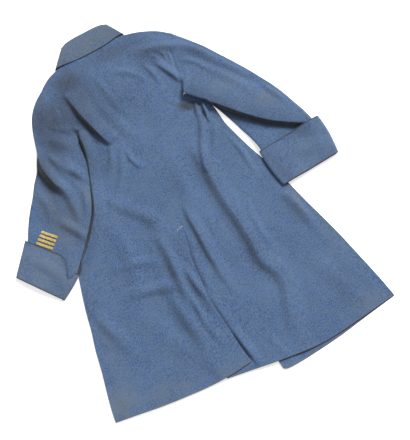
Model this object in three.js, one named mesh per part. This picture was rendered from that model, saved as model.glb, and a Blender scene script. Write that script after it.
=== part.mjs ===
// A heavy wool greatcoat laid flat on its front, with its back upwards, in millimetres.
// X runs to the right across the back, Y along the centre back to the collar, and Z up.
// Points of the tables are measured from the middle of the collar's lower edge at the back.
import * as THREE from "three";

// Cloth and sewing
const CLOTH = 2.6;
const SEAM = 0.3;
const LAYER = CLOTH + SEAM;
const PLY_SLACK = 0.9;
const CROWN = 2;
const CROWN_AT_NECK = 1.5;
const CROWN_REACH = 50;
const FOLD_EDGE_REACH = 30;
const ARMHOLE_GAIN = 3;
const NECK_GAIN = 2;
const NECK_SIDE = 100;

// The spread coat's middle, which becomes the origin
const MIDDLE_X = 18.65;
const MIDDLE_Y = -533.85;

// Collar: its ring is flattened round a mid height, and its seam line leans a little
const COLLAR_LEAN = 0.075;
const COLLAR_MID_Z = 6.4;
const NECK_HALF_GAP = 0.9;
const STAND_OUT = NECK_HALF_GAP + CLOTH;
const FALL_IN = STAND_OUT + SEAM;
const FALL_OUT = FALL_IN + CLOTH;
const FALL_SHIFT = 7;
const FALL_SHIFT_SIDE = 120;
const STAND_SHARES = [0, 0.45, 0.9];
const ROLL_ANGLES = [0, 45, 90, 135, 180];
const FALL_SHARES = [0.1, 0.55, 1];

// Sleeves and cuffs
const SLEEVE_THICK = 8.8;
const SLEEVE_LEAST = 6.4;
const EDGE_ROUND = 3.6;
const BODY_EDGE_TOP = 6.3;
const BODY_CROWN_TOP = 2.3;
const EDGE_DRAPE = 90;
const EDGE_CLEAR = 18;
const EDGE_ANGLES = [40, 0, -40];
const JOIN_LENGTH = 1.6;
const SLEEVE_SPLIT = 1.5;
const TOP_COUNT = 11;
const UNDER_COUNT = 7;
const CUFF_FOLD = 5;
const CUFF_SLACK = 0.5;

// Rank braid
const BRAID_COUNT = 4;
const BRAID_LENGTH = 52;
const BRAID_WIDTH = 6.4;
const BRAID_THICK = 1.2;
const BRAID_PITCH = 12.2;
const BRAID_STEPS = 5;
const BRAID_START = { x: -377, y: -466 };
const BRAID_TURN = -46.5;

// Vent
const VENT_TOP = -645;
const UNDERLAP = 80;
const UNDERLAP_FLATTER = 0.5;

// Slopes of the cloth over what lies under it: where each starts, and where it is complete.
// Those of an edge are measured from that edge.
const COLLAR_UNDER_FRONT_X = [190, 132];
const COLLAR_UNDER_FRONT_Y = [-225, -150];
const COLLAR_UNDER_BACK_X = [230, 132];
const COLLAR_UNDER_BACK_Y = [-280, -150];
const FRONT_LAP_X = [60, 8];
const FRONT_LAP_TOP = [-62, -88];
const LAP_LEFT_X = [-95, -10];
const LAP_RIGHT_X = [110, 8];
const LAP_TOP = [-12, -80];
const CROWN_SLOPE_Y = [0, -90];
const RIGHT_CUFF_X = [290, 312];
const RIGHT_CUFF_TOP = [-500, -525];
const RIGHT_CUFF_FOOT = [-690, -670];
const LEFT_SLEEVE_X = [30, 4];
const LEFT_SLEEVE_TOP = [-215, -235];
const LEFT_SLEEVE_FOOT = [-650, -635];
const VENT_HIDDEN_X = [6, -30];
const VENT_HIDDEN_Y = [10, -20];
const VENT_OVER_X = [-45, -4];
const VENT_OVER_Y = [36, 2];
const RIGHT_REST_Y = [-430, -500];
const LEFT_REST_Y = [-226, -258];
const UNDER_CUFF_ROWS = [-2, -0.5];

const HORIZON_BLUE = 0x5b708e;
const COLLAR_BLUE = 0x667791;
const GOLD = 0xb89a4a;

function table(columns, rows) {
  return rows.map((row) => Object.fromEntries(columns.map((name, k) => [name, row[k]])));
}

const SECTION = ["inX", "inY", "outX", "outY"];

// Across sections of the pieces, from the centre to the side, from the neck down to the hem
const BACK_RIGHT = table(SECTION, [
  [0.15, 18, 254, -51],
  [0.15, -50, 234, -117.3],
  [0.15, -120, 214, -183.7],
  [0.15, -190, 194, -250],
  [0.15, -240, 224, -280],
  [0.15, -290, 252, -308],
  [0.15, -370, 261, -372],
  [0.15, -440, 277, -435],
  [0.15, -510, 300, -508],
  [0.15, -575, 323, -572],
  [0.15, -643, 346, -646],
  [-76, -664, 353, -669],
  [-95, -732, 371, -735],
  [-101, -805, 393, -808],
  [-105, -870, 411, -873],
  [-98, -930, 425, -930],
  [-90, -990, 439, -988],
  [-84, -1045, 452, -1045],
  [-79, -1093, 462, -1095],
]);
const BACK_LEFT = table(SECTION, [
  [-0.15, 18, -190, -43],
  [-0.15, -50, -178.3, -103.3],
  [-0.15, -120, -166.7, -163.7],
  [-0.15, -185, -155, -224],
  [-0.15, -228, -159, -264],
  [-0.15, -266, -200, -292],
  [-0.15, -315, -228, -336],
  [-0.15, -380, -246, -395],
  [-0.15, -445, -268, -460],
  [-0.15, -510, -292, -525],
  [-0.15, -575, -314, -585],
  [-0.6, VENT_TOP, -336, -646],
  [-8, -690, -347, -692],
  [-19, -745, -358, -745],
  [-21, -800, -367, -800],
  [-25, -858, -379, -856],
  [-20, -918, -388, -915],
  [-13, -978, -399, -974],
  [-6, -1034, -408, -1026],
  [1, -1081, -412, -1062],
]);
const FRONT_RIGHT = table(SECTION, [
  [-8, -88, 254, -51],
  [-62, -124, 224, -150.5],
  [-66, -200, 194, -250],
  [-60, -290, 252, -308],
  [-46, -400, 270, -408],
  [-30, -520, 304, -520],
  [-8, -650, 346, -646],
  [16, -780, 384, -780],
  [40, -900, 417, -900],
  [60, -1020, 447, -1020],
  [76, -1139, 462, -1097],
]);
const FRONT_LEFT = table(SECTION, [
  [8, -88, -190, -43],
  [66, -124, -172.5, -133.5],
  [70, -200, -155, -224],
  [72, -270, -159, -264],
  [74, -300, -200, -292],
  [76, -360, -236, -360],
  [80, -480, -275, -480],
  [84, -640, -334, -640],
  [88, -780, -363, -780],
  [92, -900, -385, -900],
  [94, -1010, -405, -1005],
  [95, -1092, -410, -1058],
]);

// Neck and shoulder lines, from the centre to the shoulder tip
const POINT = ["x", "y"];
const TOP_BACK_RIGHT = table(POINT, [[0.15, 18], [38, 20.8], [74, 22.5], [99, 18], [118, 10], [150, 3],
  [184, -8], [218, -24], [254, -51]]);
const TOP_BACK_LEFT = table(POINT, [[-0.15, 18], [-38, 15.1], [-74, 11.4], [-99, 3], [-130, -8],
  [-160, -21], [-190, -43]]);
const TOP_FRONT_RIGHT = table(POINT, [[-8, -88], [14, -86], [38.3, -75.3], [66.5, -46], [84, -9], [95, 14],
  [118, 8], [150, 2], [184, -8], [218, -24], [254, -51]]);
const TOP_FRONT_LEFT = table(POINT, [[8, -88], [-14, -88.2], [-38.3, -81], [-66.5, -56], [-84, -21.5],
  [-95, 2], [-112, -3], [-130, -8], [-150, -16], [-170, -27], [-190, -43]]);

// Hem lines, from the centre to the side
const HEM_BACK_RIGHT = table(POINT, [[-79, -1093], [-11, -1102], [57, -1112], [124, -1119], [192, -1124],
  [260, -1121], [327, -1113], [395, -1104], [462, -1095]]);
const HEM_BACK_LEFT = table(POINT, [[1, -1081], [-68, -1089], [-137, -1090], [-206, -1086], [-274, -1080],
  [-343, -1071], [-412, -1062]]);
const HEM_FRONT_RIGHT = table(POINT, [[76, -1139], [90, -1144], [137, -1143], [183, -1139], [230, -1134],
  [276, -1128], [323, -1120], [369, -1112], [400, -1107], [432, -1102], [462, -1097]]);
const HEM_FRONT_LEFT = table(POINT, [[95, -1092], [45, -1084], [-6, -1076], [-57, -1079], [-107, -1080],
  [-158, -1078], [-208, -1076], [-259, -1072], [-309, -1067], [-360, -1061], [-410, -1058]]);

// Ridges of the cloth, along three points of the crest. Each falls gently on its lit side,
// which lies to the right or above, and steeply on its dark side.
const RIDGE = ["x0", "y0", "x1", "y1", "x2", "y2", "rise", "lit", "dark", "start", "end"];
const BODY_FOLDS = table(RIDGE, [
  [-134, -92, -108, -195, -76, -300, 15, 60, 26, 0.5, 0.4],
  [-70, -318, -104, -368, -140, -420, 5, 36, 24, 0.5, 0],
  [-75, -64, -34, -160, 3, -330, 4.5, 55, 32, 0.2, 0],
  [160, -120, 188, -170, 204, -212, 6, 30, 20, 0.1, 0.6],
  [238, -306, 226, -330, 212, -356, 6, 16, 14, 0.2, 0],
  [182, -378, 146, -480, 150, -662, 7, 55, 30, 0, 0.6],
  [150, -640, 158, -735, 166, -832, 9, 60, 30, 0.3, 0.5],
  [166, -815, 200, -915, 160, -1082, 7, 55, 30, 0.4, 0.5],
  [32, -612, 38, -720, 42, -932, 6, 42, 22, 0, 0],
  [-54, -622, -73, -737, -81, -862, 6, 28, 24, 0, 0],
  [-114, -818, -106, -905, -75, -1030, 5, 40, 24, 0.1, 0.1],
  [-168, -470, -114, -534, -58, -606, 4.5, 36, 24, 0, 0.2],
  [-276, -752, -190, -776, -108, -783, 3, 34, 24, 0, 0],
  [-322, -776, -286, -830, -250, -894, 3.5, 40, 26, 0.2, 0],
  [262, -433, 270, -500, 274, -572, 3, 24, 22, 0, 0],
]);
const SLEEVE_RIGHT_FOLDS = table(RIDGE, [
  [205, -262, 338, -399, 484, -502, 16, 120, 26, 0.55, 0.1],
]);
const SLEEVE_LEFT_FOLDS = table(RIDGE, [
  [-283, -214, -292, -300, -250, -476, 13, 100, 26, 0.9, 0],
  [-284, -246, -240, -312, -200, -366, 4, 30, 20, 0.3, 0.2],
]);

// Across sections of the sleeves, from the armhole down to the wrist, and of the turned cuffs.
// Here the "in" point is on the upper edge, which goes on from the shoulder, and "out" on the lower.
const SLEEVE_RIGHT = table(SECTION, [
  [254.3, -51.1, 194.3, -249.6],
  [279, -78, 215, -269.3],
  [303, -107, 234.5, -288.8],
  [328, -139, 253.5, -307.8],
  [355, -180, 262, -332],
  [384, -224, 273, -360],
  [412, -268, 284, -388],
  [437, -311, 294, -416],
  [456, -346, 303, -444],
  [472, -382, 311, -468],
  [486, -420, 316, -488],
  [500, -462, 320, -508],
  [511, -505, 322, -526],
  [519, -548, 325, -566],
  [524, -590, 330, -606],
  [522, -632, 340, -650],
]);
const SLEEVE_LEFT = table(SECTION, [
  [-190.3, -43, -155.3, -224],
  [-228, -74, -157.7, -243],
  [-256, -112, -161.4, -268],
  [-273, -156, -164, -298],
  [-283, -198, -168, -328],
  [-292, -238, -177, -360],
  [-314, -276, -187, -392],
  [-336, -315, -198, -424],
  [-356, -350, -211, -460],
  [-376, -380, -228, -492],
  [-395, -411, -252, -527],
  [-411, -443, -282, -566],
  [-426, -475, -311, -600],
  [-447, -504, -343, -637],
  [-468, -530, -371, -660],
  [-490, -556, -398, -676],
]);
const CUFF_START = 12;
const CUFF_RIGHT = table(SECTION, [
  [528, -509, 319, -530],
  [532, -545, 319, -562],
  [533, -578, 322, -595],
  [531, -610, 327, -628],
  [528, -638, 334, -657],
]);
const CUFF_LEFT = table([...SECTION, "slit"], [
  [-430, -471, -308, -607, 0.62],
  [-448, -496, -328, -628, 0.76],
  [-464, -517, -349, -646, 0.84],
  [-480, -538, -373, -663, 0.97],
  [-497, -561, -402, -681, 0.97],
]);

// Collar stations round the neck, from its point under the front to the middle of the back.
// Each has the seam, the roll line and the outer edge, and the angle of its turn round the side,
// which goes round these points from below (-90) to above (90).
const STATION = ["neckX", "neckY", "rollX", "rollY", "edgeX", "edgeY", "turn"];
const COLLAR_SIDE = table(STATION, [
  [14, -86.5, 12, -48, 26, -142, -90],
  [38, -77.5, 34, -38, 60, -124, -90],
  [66, -50.5, 58, -4, 92, -84, -90],
  [83, -14.5, 72, 34, 108, -34, -90],
  [89, 12, 77, 57, 115.5, 3, -90],
  [89.5, 13, 77.5, 59, 116, 5, -45],
  [89.5, 14, 77.5, 60, 116, 6, 0],
  [89.5, 15, 77.5, 61, 116, 7, 45],
  [89, 16, 77, 62, 115.5, 8.5, 90],
  [74, 17.3, 62, 68, 96, 8, 90],
  [38, 18.3, 34, 71, 49, 2, 90],
]);
const COLLAR_BACK = table(STATION, [[0, 18.3, 0, 71, 0, 0.5, 90]]);

// Small helpers

function lerp(a, b, t) {
  return a + (b - a) * t;
}

function ramp(from, to, value) {
  const t = Math.min(Math.max((value - from) / (to - from), 0), 1);
  return t * t * (3 - 2 * t);
}

// Height along a slope, from 0 where it starts to 1 where it is complete, measured from an edge
function slope(pair, value, edge = 0) {
  return ramp(edge + pair[0], edge + pair[1], value);
}

// Value of a column at a fractional row
function at(rows, row, name) {
  const k = Math.min(Math.max(Math.floor(row), 0), rows.length - 2);
  return lerp(rows[k][name], rows[k + 1][name], row - k);
}

// Fractional row at which a column that rises or falls all along has a value
function rowOf(rows, name, value) {
  const falling = rows[0][name] > rows[rows.length - 1][name];
  const found = rows.findIndex((row) => (falling ? row[name] <= value : row[name] >= value));
  if (found === 0) return 0;
  if (found < 0) return rows.length - 1;
  const before = rows[found - 1][name];
  return found - 1 + (value - before) / (rows[found][name] - before);
}

function read(rows, from, to, value) {
  return at(rows, rowOf(rows, from, value), to);
}

// Fractional row whose section passes through a point
function rowThrough(rows, x, y) {
  const above = rows.map(({ inX, inY, outX, outY }) => {
    const cross = (outX - inX) * (y - inY) - (outY - inY) * (x - inX);
    return cross / Math.hypot(outX - inX, outY - inY);
  });
  const next = above.findIndex((distance) => distance > 0);
  return next - above[next] / (above[next] - above[next - 1]);
}

// Ridge of one fold over a point, 0 away from it
function ridge(fold, x, y) {
  let best = null;
  const points = [[fold.x0, fold.y0], [fold.x1, fold.y1], [fold.x2, fold.y2]];
  for (let k = 0; k < 2; k++) {
    const [ax, ay] = points[k];
    const [bx, by] = points[k + 1];
    const length = Math.hypot(bx - ax, by - ay);
    const dx = (bx - ax) / length;
    const dy = (by - ay) / length;
    const ahead = (x - ax) * dx + (y - ay) * dy;
    const t = Math.min(Math.max(ahead / length, 0), 1);
    const away = Math.hypot(x - ax - dx * length * t, y - ay - dy * length * t);
    const side = dx * (y - ay) - dy * (x - ax);
    if (!best || away < best.away) best = { away, side, t: (k + t) / 2 };
  }
  const width = best.side > 0 ? fold.lit : fold.dark;
  if (best.away >= width) return 0;
  const across = 0.5 + 0.5 * Math.cos((Math.PI * best.away) / width);
  const head = lerp(fold.start, 1, ramp(0, 0.4, best.t));
  const foot = lerp(fold.end, 1, ramp(1, 0.6, best.t));
  return fold.rise * across * head * foot;
}

function ridges(folds, x, y) {
  return folds.reduce((sum, fold) => sum + ridge(fold, x, y), 0);
}

// Heights of the body's layers

function leadingEdge(rows, y) {
  return read(rows.slice(1), "inY", "inX", y);
}

// Rise of the fronts over the collar's leaves, which lie under them
function frontOverCollar(x, y) {
  return LAYER * slope(COLLAR_UNDER_FRONT_X, Math.abs(x)) * slope(COLLAR_UNDER_FRONT_Y, y);
}

// Rise of the right front over the left one where they overlap
function frontOverFront(x, y) {
  const edge = leadingEdge(FRONT_LEFT, y);
  return (LAYER + PLY_SLACK) * slope(FRONT_LAP_X, x, edge) * slope(FRONT_LAP_TOP, y);
}

function frontRightUnder(x, y) {
  return frontOverCollar(x, y) + frontOverFront(x, y);
}

// Distance from the side seam inwards, large beside the armhole
function insideSide(x, y) {
  const rows = x < 0 ? BACK_LEFT : BACK_RIGHT;
  const armpit = rows[3];
  const side = Math.abs(read(rows.slice(3), "outY", "outX", y));
  return side - Math.abs(x) + ARMHOLE_GAIN * Math.max(y - armpit.outY, 0);
}

// Distance below the shoulder seam, large beside the neck
function belowShoulder(x, y) {
  const rows = x < 0 ? TOP_BACK_LEFT : TOP_BACK_RIGHT;
  return read(rows, "x", "y", x) - y + NECK_GAIN * Math.max(NECK_SIDE - Math.abs(x), 0);
}

// The sleeve or cuff that lies over the body's side keeps the cloth under it smooth
function clearOfSleeve(x, y) {
  if (x > 0) return 1 - slope(RIGHT_CUFF_X, x) * slope(RIGHT_CUFF_TOP, y) * slope(RIGHT_CUFF_FOOT, y);
  const sleeve = read(SLEEVE_LEFT, "inY", "inX", y);
  return 1 - slope(LEFT_SLEEVE_X, x, sleeve) * slope(LEFT_SLEEVE_TOP, y) * slope(LEFT_SLEEVE_FOOT, y);
}

function bodyFolds(x, y) {
  const side = ramp(0, FOLD_EDGE_REACH, insideSide(x, y));
  const shoulder = ramp(0, FOLD_EDGE_REACH, belowShoulder(x, y));
  return ridges(BODY_FOLDS, x, y) * side * shoulder * clearOfSleeve(x, y);
}

// Underside of the back over the fronts
function backUnder(x, y) {
  const collar = slope(COLLAR_UNDER_BACK_X, Math.abs(x)) * slope(COLLAR_UNDER_BACK_Y, y);
  const left = slope(LAP_LEFT_X, x, leadingEdge(FRONT_RIGHT, y));
  const right = slope(LAP_RIGHT_X, x, leadingEdge(FRONT_LEFT, y));
  const lap = left * right * slope(LAP_TOP, y);
  const inward = ramp(0, CROWN_REACH, insideSide(x, y)) * ramp(0, CROWN_REACH, belowShoulder(x, y));
  const crown = inward * lerp(CROWN_AT_NECK, CROWN, slope(CROWN_SLOPE_Y, y));
  return LAYER * (1 + collar) + (LAYER + PLY_SLACK) * lap + crown + bodyFolds(x, y);
}

// The right back's underlap lies flatter than the cloth over it
function backRightUnder(x, y) {
  const vent = read(BACK_LEFT, "inY", "inX", y);
  const hidden = slope(VENT_HIDDEN_X, x, vent) * slope(VENT_HIDDEN_Y, y, VENT_TOP);
  return backUnder(x, y) - UNDERLAP_FLATTER * hidden * bodyFolds(x, y);
}

// The left back lies over the right back's underlap beside the vent
function backLeftUnder(x, y) {
  const vent = read(BACK_LEFT, "inY", "inX", y);
  const over = slope(VENT_OVER_X, x, vent - UNDERLAP) * slope(VENT_OVER_Y, y, VENT_TOP);
  return backUnder(x, y) + (LAYER + PLY_SLACK) * over;
}

// What lies under a sleeve or cuff: the body's side, or the floor beyond it
function ground(side, x, y) {
  const rows = side > 0 ? BACK_RIGHT : BACK_LEFT;
  const beyond = side * (x - read(rows.slice(3), "outY", "outX", y));
  const edge = BODY_EDGE_TOP * ramp(EDGE_DRAPE, EDGE_CLEAR, beyond);
  const crown = BODY_CROWN_TOP * ramp(0, -CROWN_REACH, beyond);
  return (edge + crown) * slope(side > 0 ? RIGHT_REST_Y : LEFT_REST_Y, y);
}

// Closed solids from grids of points

function facingOut(geometry) {
  const p = geometry.getAttribute("position");
  const corner = [new THREE.Vector3(), new THREE.Vector3(), new THREE.Vector3()];
  const index = geometry.index.array;
  let volume = 0;
  for (let k = 0; k < index.length; k += 3) {
    corner.forEach((c, n) => c.fromBufferAttribute(p, index[k + n]));
    volume += corner[0].dot(corner[1].cross(corner[2])) / 6;
  }
  if (volume < 0) {
    for (let k = 0; k < index.length; k += 3) [index[k + 1], index[k + 2]] = [index[k + 2], index[k + 1]];
  }
  return geometry;
}

// Wall between two grids of the same size, closed round its borders. A round grid joins its ends.
function wall(outer, inner, round) {
  const rows = outer.length;
  const columns = outer[0].length;
  const points = [...outer.flat(), ...inner.flat()];
  const index = [];
  const quad = (a, b, c, d) => index.push(a, b, c, a, c, d);
  const out = (i, j) => i * columns + (j % columns);
  const inn = (i, j) => rows * columns + out(i, j);
  const spans = round ? columns : columns - 1;
  for (let j = 0; j < spans; j++) {
    for (let i = 0; i < rows - 1; i++) {
      quad(out(i, j), out(i + 1, j), out(i + 1, j + 1), out(i, j + 1));
      quad(inn(i, j), inn(i, j + 1), inn(i + 1, j + 1), inn(i + 1, j));
    }
    quad(out(0, j), out(0, j + 1), inn(0, j + 1), inn(0, j));
    quad(out(rows - 1, j), inn(rows - 1, j), inn(rows - 1, j + 1), out(rows - 1, j + 1));
  }
  for (let i = 0; !round && i < rows - 1; i++) {
    quad(out(i, 0), inn(i, 0), inn(i + 1, 0), out(i + 1, 0));
    quad(out(i, spans), out(i + 1, spans), inn(i + 1, spans), inn(i, spans));
  }
  const geometry = new THREE.BufferGeometry().setFromPoints(points);
  geometry.setIndex(index);
  return facingOut(geometry);
}

const coat = new THREE.Group();

function add(name, geometry, colour, roughness = 0.95, metalness = 0) {
  geometry.computeVertexNormals();
  const material = new THREE.MeshStandardMaterial({ color: colour, roughness, metalness });
  const mesh = new THREE.Mesh(geometry, material);
  mesh.name = name;
  coat.add(mesh);
}

// Fronts and backs

// A piece with straight sections, whose first and last rows follow the neck and hem lines
function bodyPiece({ sections, top, hem, columns, split, fade, under }) {
  const last = sections.length - 1;
  const count = last * split;
  const spread = (line, u) => {
    const row = u * (line.length - 1);
    return { x: at(line, row, "x"), y: at(line, row, "y") };
  };
  const upper = [];
  const lower = [];
  for (let i = 0; i <= count; i++) {
    const row = i / split;
    const atTop = ramp(fade, 0, row);
    const atHem = ramp(last - 2, last, row);
    upper.push([]);
    lower.push([]);
    for (let j = 0; j <= columns; j++) {
      const u = j / columns;
      const straight = (r) => ({
        x: lerp(at(sections, r, "inX"), at(sections, r, "outX"), u),
        y: lerp(at(sections, r, "inY"), at(sections, r, "outY"), u),
      });
      const here = straight(row);
      const first = straight(0);
      const end = straight(last);
      const a = spread(top, u);
      const b = spread(hem, u);
      const x = here.x + atTop * (a.x - first.x) + atHem * (b.x - end.x);
      const y = here.y + atTop * (a.y - first.y) + atHem * (b.y - end.y);
      const z = under(x, y);
      upper[i].push(new THREE.Vector3(x, y, z + CLOTH));
      lower[i].push(new THREE.Vector3(x, y, z));
    }
  }
  return wall(upper, lower, false);
}

const BODY_PIECES = [
  { name: "front_left", sections: FRONT_LEFT, top: TOP_FRONT_LEFT, hem: HEM_FRONT_LEFT,
    columns: 10, split: 2, fade: 2, under: frontOverCollar },
  { name: "front_right", sections: FRONT_RIGHT, top: TOP_FRONT_RIGHT, hem: HEM_FRONT_RIGHT,
    columns: 10, split: 2, fade: 2, under: frontRightUnder },
  { name: "back_left", sections: BACK_LEFT, top: TOP_BACK_LEFT, hem: HEM_BACK_LEFT,
    columns: 12, split: 2, fade: 3, under: backLeftUnder },
  { name: "back_right", sections: BACK_RIGHT, top: TOP_BACK_RIGHT, hem: HEM_BACK_RIGHT,
    columns: 16, split: 2, fade: 3, under: backRightUnder },
];
for (const piece of BODY_PIECES) add(piece.name, bodyPiece(piece), HORIZON_BLUE);

// Sleeves: flattened tubes with rounded edges. The turned cuff lifts the sleeve inside it.

function sleeveUnder(side, row, x, y) {
  return ground(side, x, y) + (LAYER + CUFF_SLACK) * slope(UNDER_CUFF_ROWS, row, CUFF_START);
}

function sleeveTop(side, row, x, y) {
  const folds = side > 0 ? SLEEVE_RIGHT_FOLDS : SLEEVE_LEFT_FOLDS;
  const free = sleeveUnder(side, row, x, y) + SLEEVE_THICK + ridges(folds, x, y);
  const joined = Math.max(backUnder(x, y) + CLOTH, SLEEVE_LEAST);
  return lerp(joined, free, ramp(0, JOIN_LENGTH, row));
}

// Points round a flattened tube, near its upper edge and far at its lower one. Moved says how far
// the ring stands out of the sleeve's own face.
function tubeRing({ side, row, section, moved }) {
  const { inX, inY, outX, outY } = section;
  const width = Math.hypot(outX - inX, outY - inY);
  const dx = (outX - inX) / width;
  const dy = (outY - inY) / width;
  const place = (s) => ({ x: inX + dx * s, y: inY + dy * s });
  const high = (s) => sleeveTop(side, row, place(s).x, place(s).y);
  const low = (s) => sleeveUnder(side, row, place(s).x, place(s).y);
  const near = EDGE_ROUND;
  const far = width - EDGE_ROUND;
  const point = (s, z) => new THREE.Vector3(place(s).x, place(s).y, z);
  const turn = (s, degrees) => {
    const angle = THREE.MathUtils.degToRad(degrees);
    const middle = (high(s) + low(s)) / 2;
    const tall = (high(s) - low(s)) / 2 + moved;
    return point(s + (EDGE_ROUND + moved) * Math.cos(angle), middle + tall * Math.sin(angle));
  };
  const over = (share) => {
    const s = lerp(near, far, share);
    return point(s, high(s) + moved);
  };
  const beneath = (share) => {
    const s = lerp(far, near, share);
    return point(s, low(s) - moved);
  };
  const nearTurn = (degrees) => turn(near, degrees);
  const farTurn = (degrees) => turn(far, degrees);
  return { over, beneath, nearTurn, farTurn };
}

function closedRing(ring) {
  const points = [];
  for (let k = 0; k <= TOP_COUNT; k++) points.push(ring.over(k / TOP_COUNT));
  for (const degrees of EDGE_ANGLES) points.push(ring.farTurn(degrees));
  for (let k = 0; k <= UNDER_COUNT; k++) points.push(ring.beneath(k / UNDER_COUNT));
  for (const degrees of [...EDGE_ANGLES].reverse()) points.push(ring.nearTurn(180 - degrees));
  return points;
}

function sectionAt(rows, row) {
  return Object.fromEntries(SECTION.map((name) => [name, at(rows, row, name)]));
}

for (const { name, side, rows } of [
  { name: "sleeve_left", side: -1, rows: SLEEVE_LEFT },
  { name: "sleeve_right", side: 1, rows: SLEEVE_RIGHT },
]) {
  const count = Math.round((rows.length - 1) * SLEEVE_SPLIT);
  const rings = (moved) =>
    Array.from({ length: count + 1 }, (_, i) => {
      const row = (i / count) * (rows.length - 1);
      const section = sectionAt(rows, row);
      return closedRing(tubeRing({ side, row, section, moved }));
    });
  add(name, wall(rings(0), rings(-CLOTH), true), HORIZON_BLUE);
}

// Turned-back cuffs: a band round each sleeve's end, slit at the inner edge and folded in at the wrist

function openRing(ring, slit, from, to) {
  const points = [];
  if (from < 90) points.push(ring.farTurn(from));
  for (let k = 0; k <= TOP_COUNT; k++) points.push(ring.over(slit * (1 - k / TOP_COUNT)));
  for (const degrees of EDGE_ANGLES) points.push(ring.nearTurn(180 - degrees));
  for (let k = 0; k <= UNDER_COUNT; k++) points.push(ring.beneath(1 - k / UNDER_COUNT));
  for (const share of [0.5, 1]) points.push(ring.farTurn(lerp(-90, to, share)));
  return points;
}

for (const { name, side, rows, from, to } of [
  { name: "cuff_left", side: -1, rows: CUFF_LEFT, from: 90, to: 50 },
  { name: "cuff_right", side: 1, rows: CUFF_RIGHT, from: -20, to: -55 },
]) {
  const last = rows.length - 1;
  const depth = Math.hypot(rows[last].inX - rows[last - 1].inX, rows[last].inY - rows[last - 1].inY);
  const foldRow = last - CUFF_FOLD / depth;
  const even = Array.from({ length: 2 * last - 1 }, (_, k) => k / 2);
  const levels = [...even, foldRow - SEAM / depth, foldRow, last];
  const band = (moved, folded) =>
    levels.map((row, k) => {
      const section = sectionAt(rows, row);
      const face = folded && k >= levels.length - 2 ? -CLOTH : moved;
      const ring = tubeRing({ side, row: CUFF_START + 1, section, moved: face });
      return openRing(ring, rows[0].slit ? at(rows, row, "slit") : 1, from, to);
    });
  add(name, wall(band(LAYER + CUFF_SLACK, false), band(SEAM + CUFF_SLACK, true), false), HORIZON_BLUE);
}

// Collar: a stand that rises from the neck seam, rolls over and falls back outside it

function collarLeaf(station, side) {
  const lean = (x, y) => y + COLLAR_LEAN * x;
  const turn = THREE.MathUtils.degToRad(station.turn);
  const ends = {
    neck: [side * station.neckX, station.neckY],
    roll: [side * station.rollX, station.rollY],
    edge: [side * station.edgeX - FALL_SHIFT * Math.min(station.edgeX / FALL_SHIFT_SIDE, 1), station.edgeY],
  };
  const point = (from, to, share, beyond, height) => {
    const x = lerp(from[0], to[0], share);
    const y = lerp(from[1], to[1], share);
    const length = Math.hypot(to[0] - from[0], to[1] - from[1]);
    const px = x + (beyond * (to[0] - from[0])) / length + side * height * Math.cos(turn);
    const py = y + (beyond * (to[1] - from[1])) / length;
    return new THREE.Vector3(px, lean(px, py), COLLAR_MID_Z + height * Math.sin(turn));
  };
  const face = (standHeight, fallHeight) => {
    const radius = (fallHeight - standHeight) / 2;
    const middle = (fallHeight + standHeight) / 2;
    const points = STAND_SHARES.map((share) => point(ends.neck, ends.roll, share, 0, standHeight));
    for (const degrees of ROLL_ANGLES) {
      const angle = THREE.MathUtils.degToRad(degrees);
      const height = middle - radius * Math.cos(angle);
      points.push(point(ends.neck, ends.roll, 1, radius * Math.sin(angle), height));
    }
    points.push(...FALL_SHARES.map((share) => point(ends.roll, ends.edge, share, 0, fallHeight)));
    return points;
  };
  return { outside: face(NECK_HALF_GAP, FALL_OUT), inside: face(STAND_OUT, FALL_IN) };
}

const leaves = [
  ...COLLAR_SIDE.map((station) => collarLeaf(station, -1)),
  ...COLLAR_BACK.map((station) => collarLeaf(station, 1)),
  ...[...COLLAR_SIDE].reverse().map((station) => collarLeaf(station, 1)),
];
const collarFaces = ["outside", "inside"].map((face) => leaves.map((leaf) => leaf[face]));
add("collar", wall(...collarFaces, false), COLLAR_BLUE);

// Rank braid: short gold bars across the left sleeve, just above its cuff

function braid(number) {
  const turn = THREE.MathUtils.degToRad(BRAID_TURN);
  const ahead = { x: Math.cos(turn), y: Math.sin(turn) };
  const down = { x: ahead.y, y: -ahead.x };
  const face = (raised) =>
    Array.from({ length: BRAID_STEPS + 1 }, (_, i) =>
      [-0.5, 0.5].map((share) => {
        const length = (BRAID_LENGTH * i) / BRAID_STEPS;
        const drop = number * BRAID_PITCH + share * BRAID_WIDTH;
        const x = BRAID_START.x + ahead.x * length + down.x * drop;
        const y = BRAID_START.y + ahead.y * length + down.y * drop;
        const row = rowThrough(SLEEVE_LEFT, x, y);
        return new THREE.Vector3(x, y, sleeveTop(-1, row, x, y) + raised);
      }),
    );
  return wall(face(SEAM + BRAID_THICK), face(SEAM), false);
}

for (let number = 0; number < BRAID_COUNT; number++) {
  add("braid_" + (number + 1), braid(number), GOLD, 0.45, 0.7);
}

coat.position.set(-MIDDLE_X, -MIDDLE_Y, 0);

export default coat;
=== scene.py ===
# A heavy wool greatcoat laid flat on its front, with its back upwards, on a pale table.
# The charts are in millimetres from the middle of the collar's lower edge at the back:
# x to the coat's right side, y up the centre back, z up from the table.
import math
import bmesh
import bpy
import numpy as np
from mathutils import Matrix, Vector, noise


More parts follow.
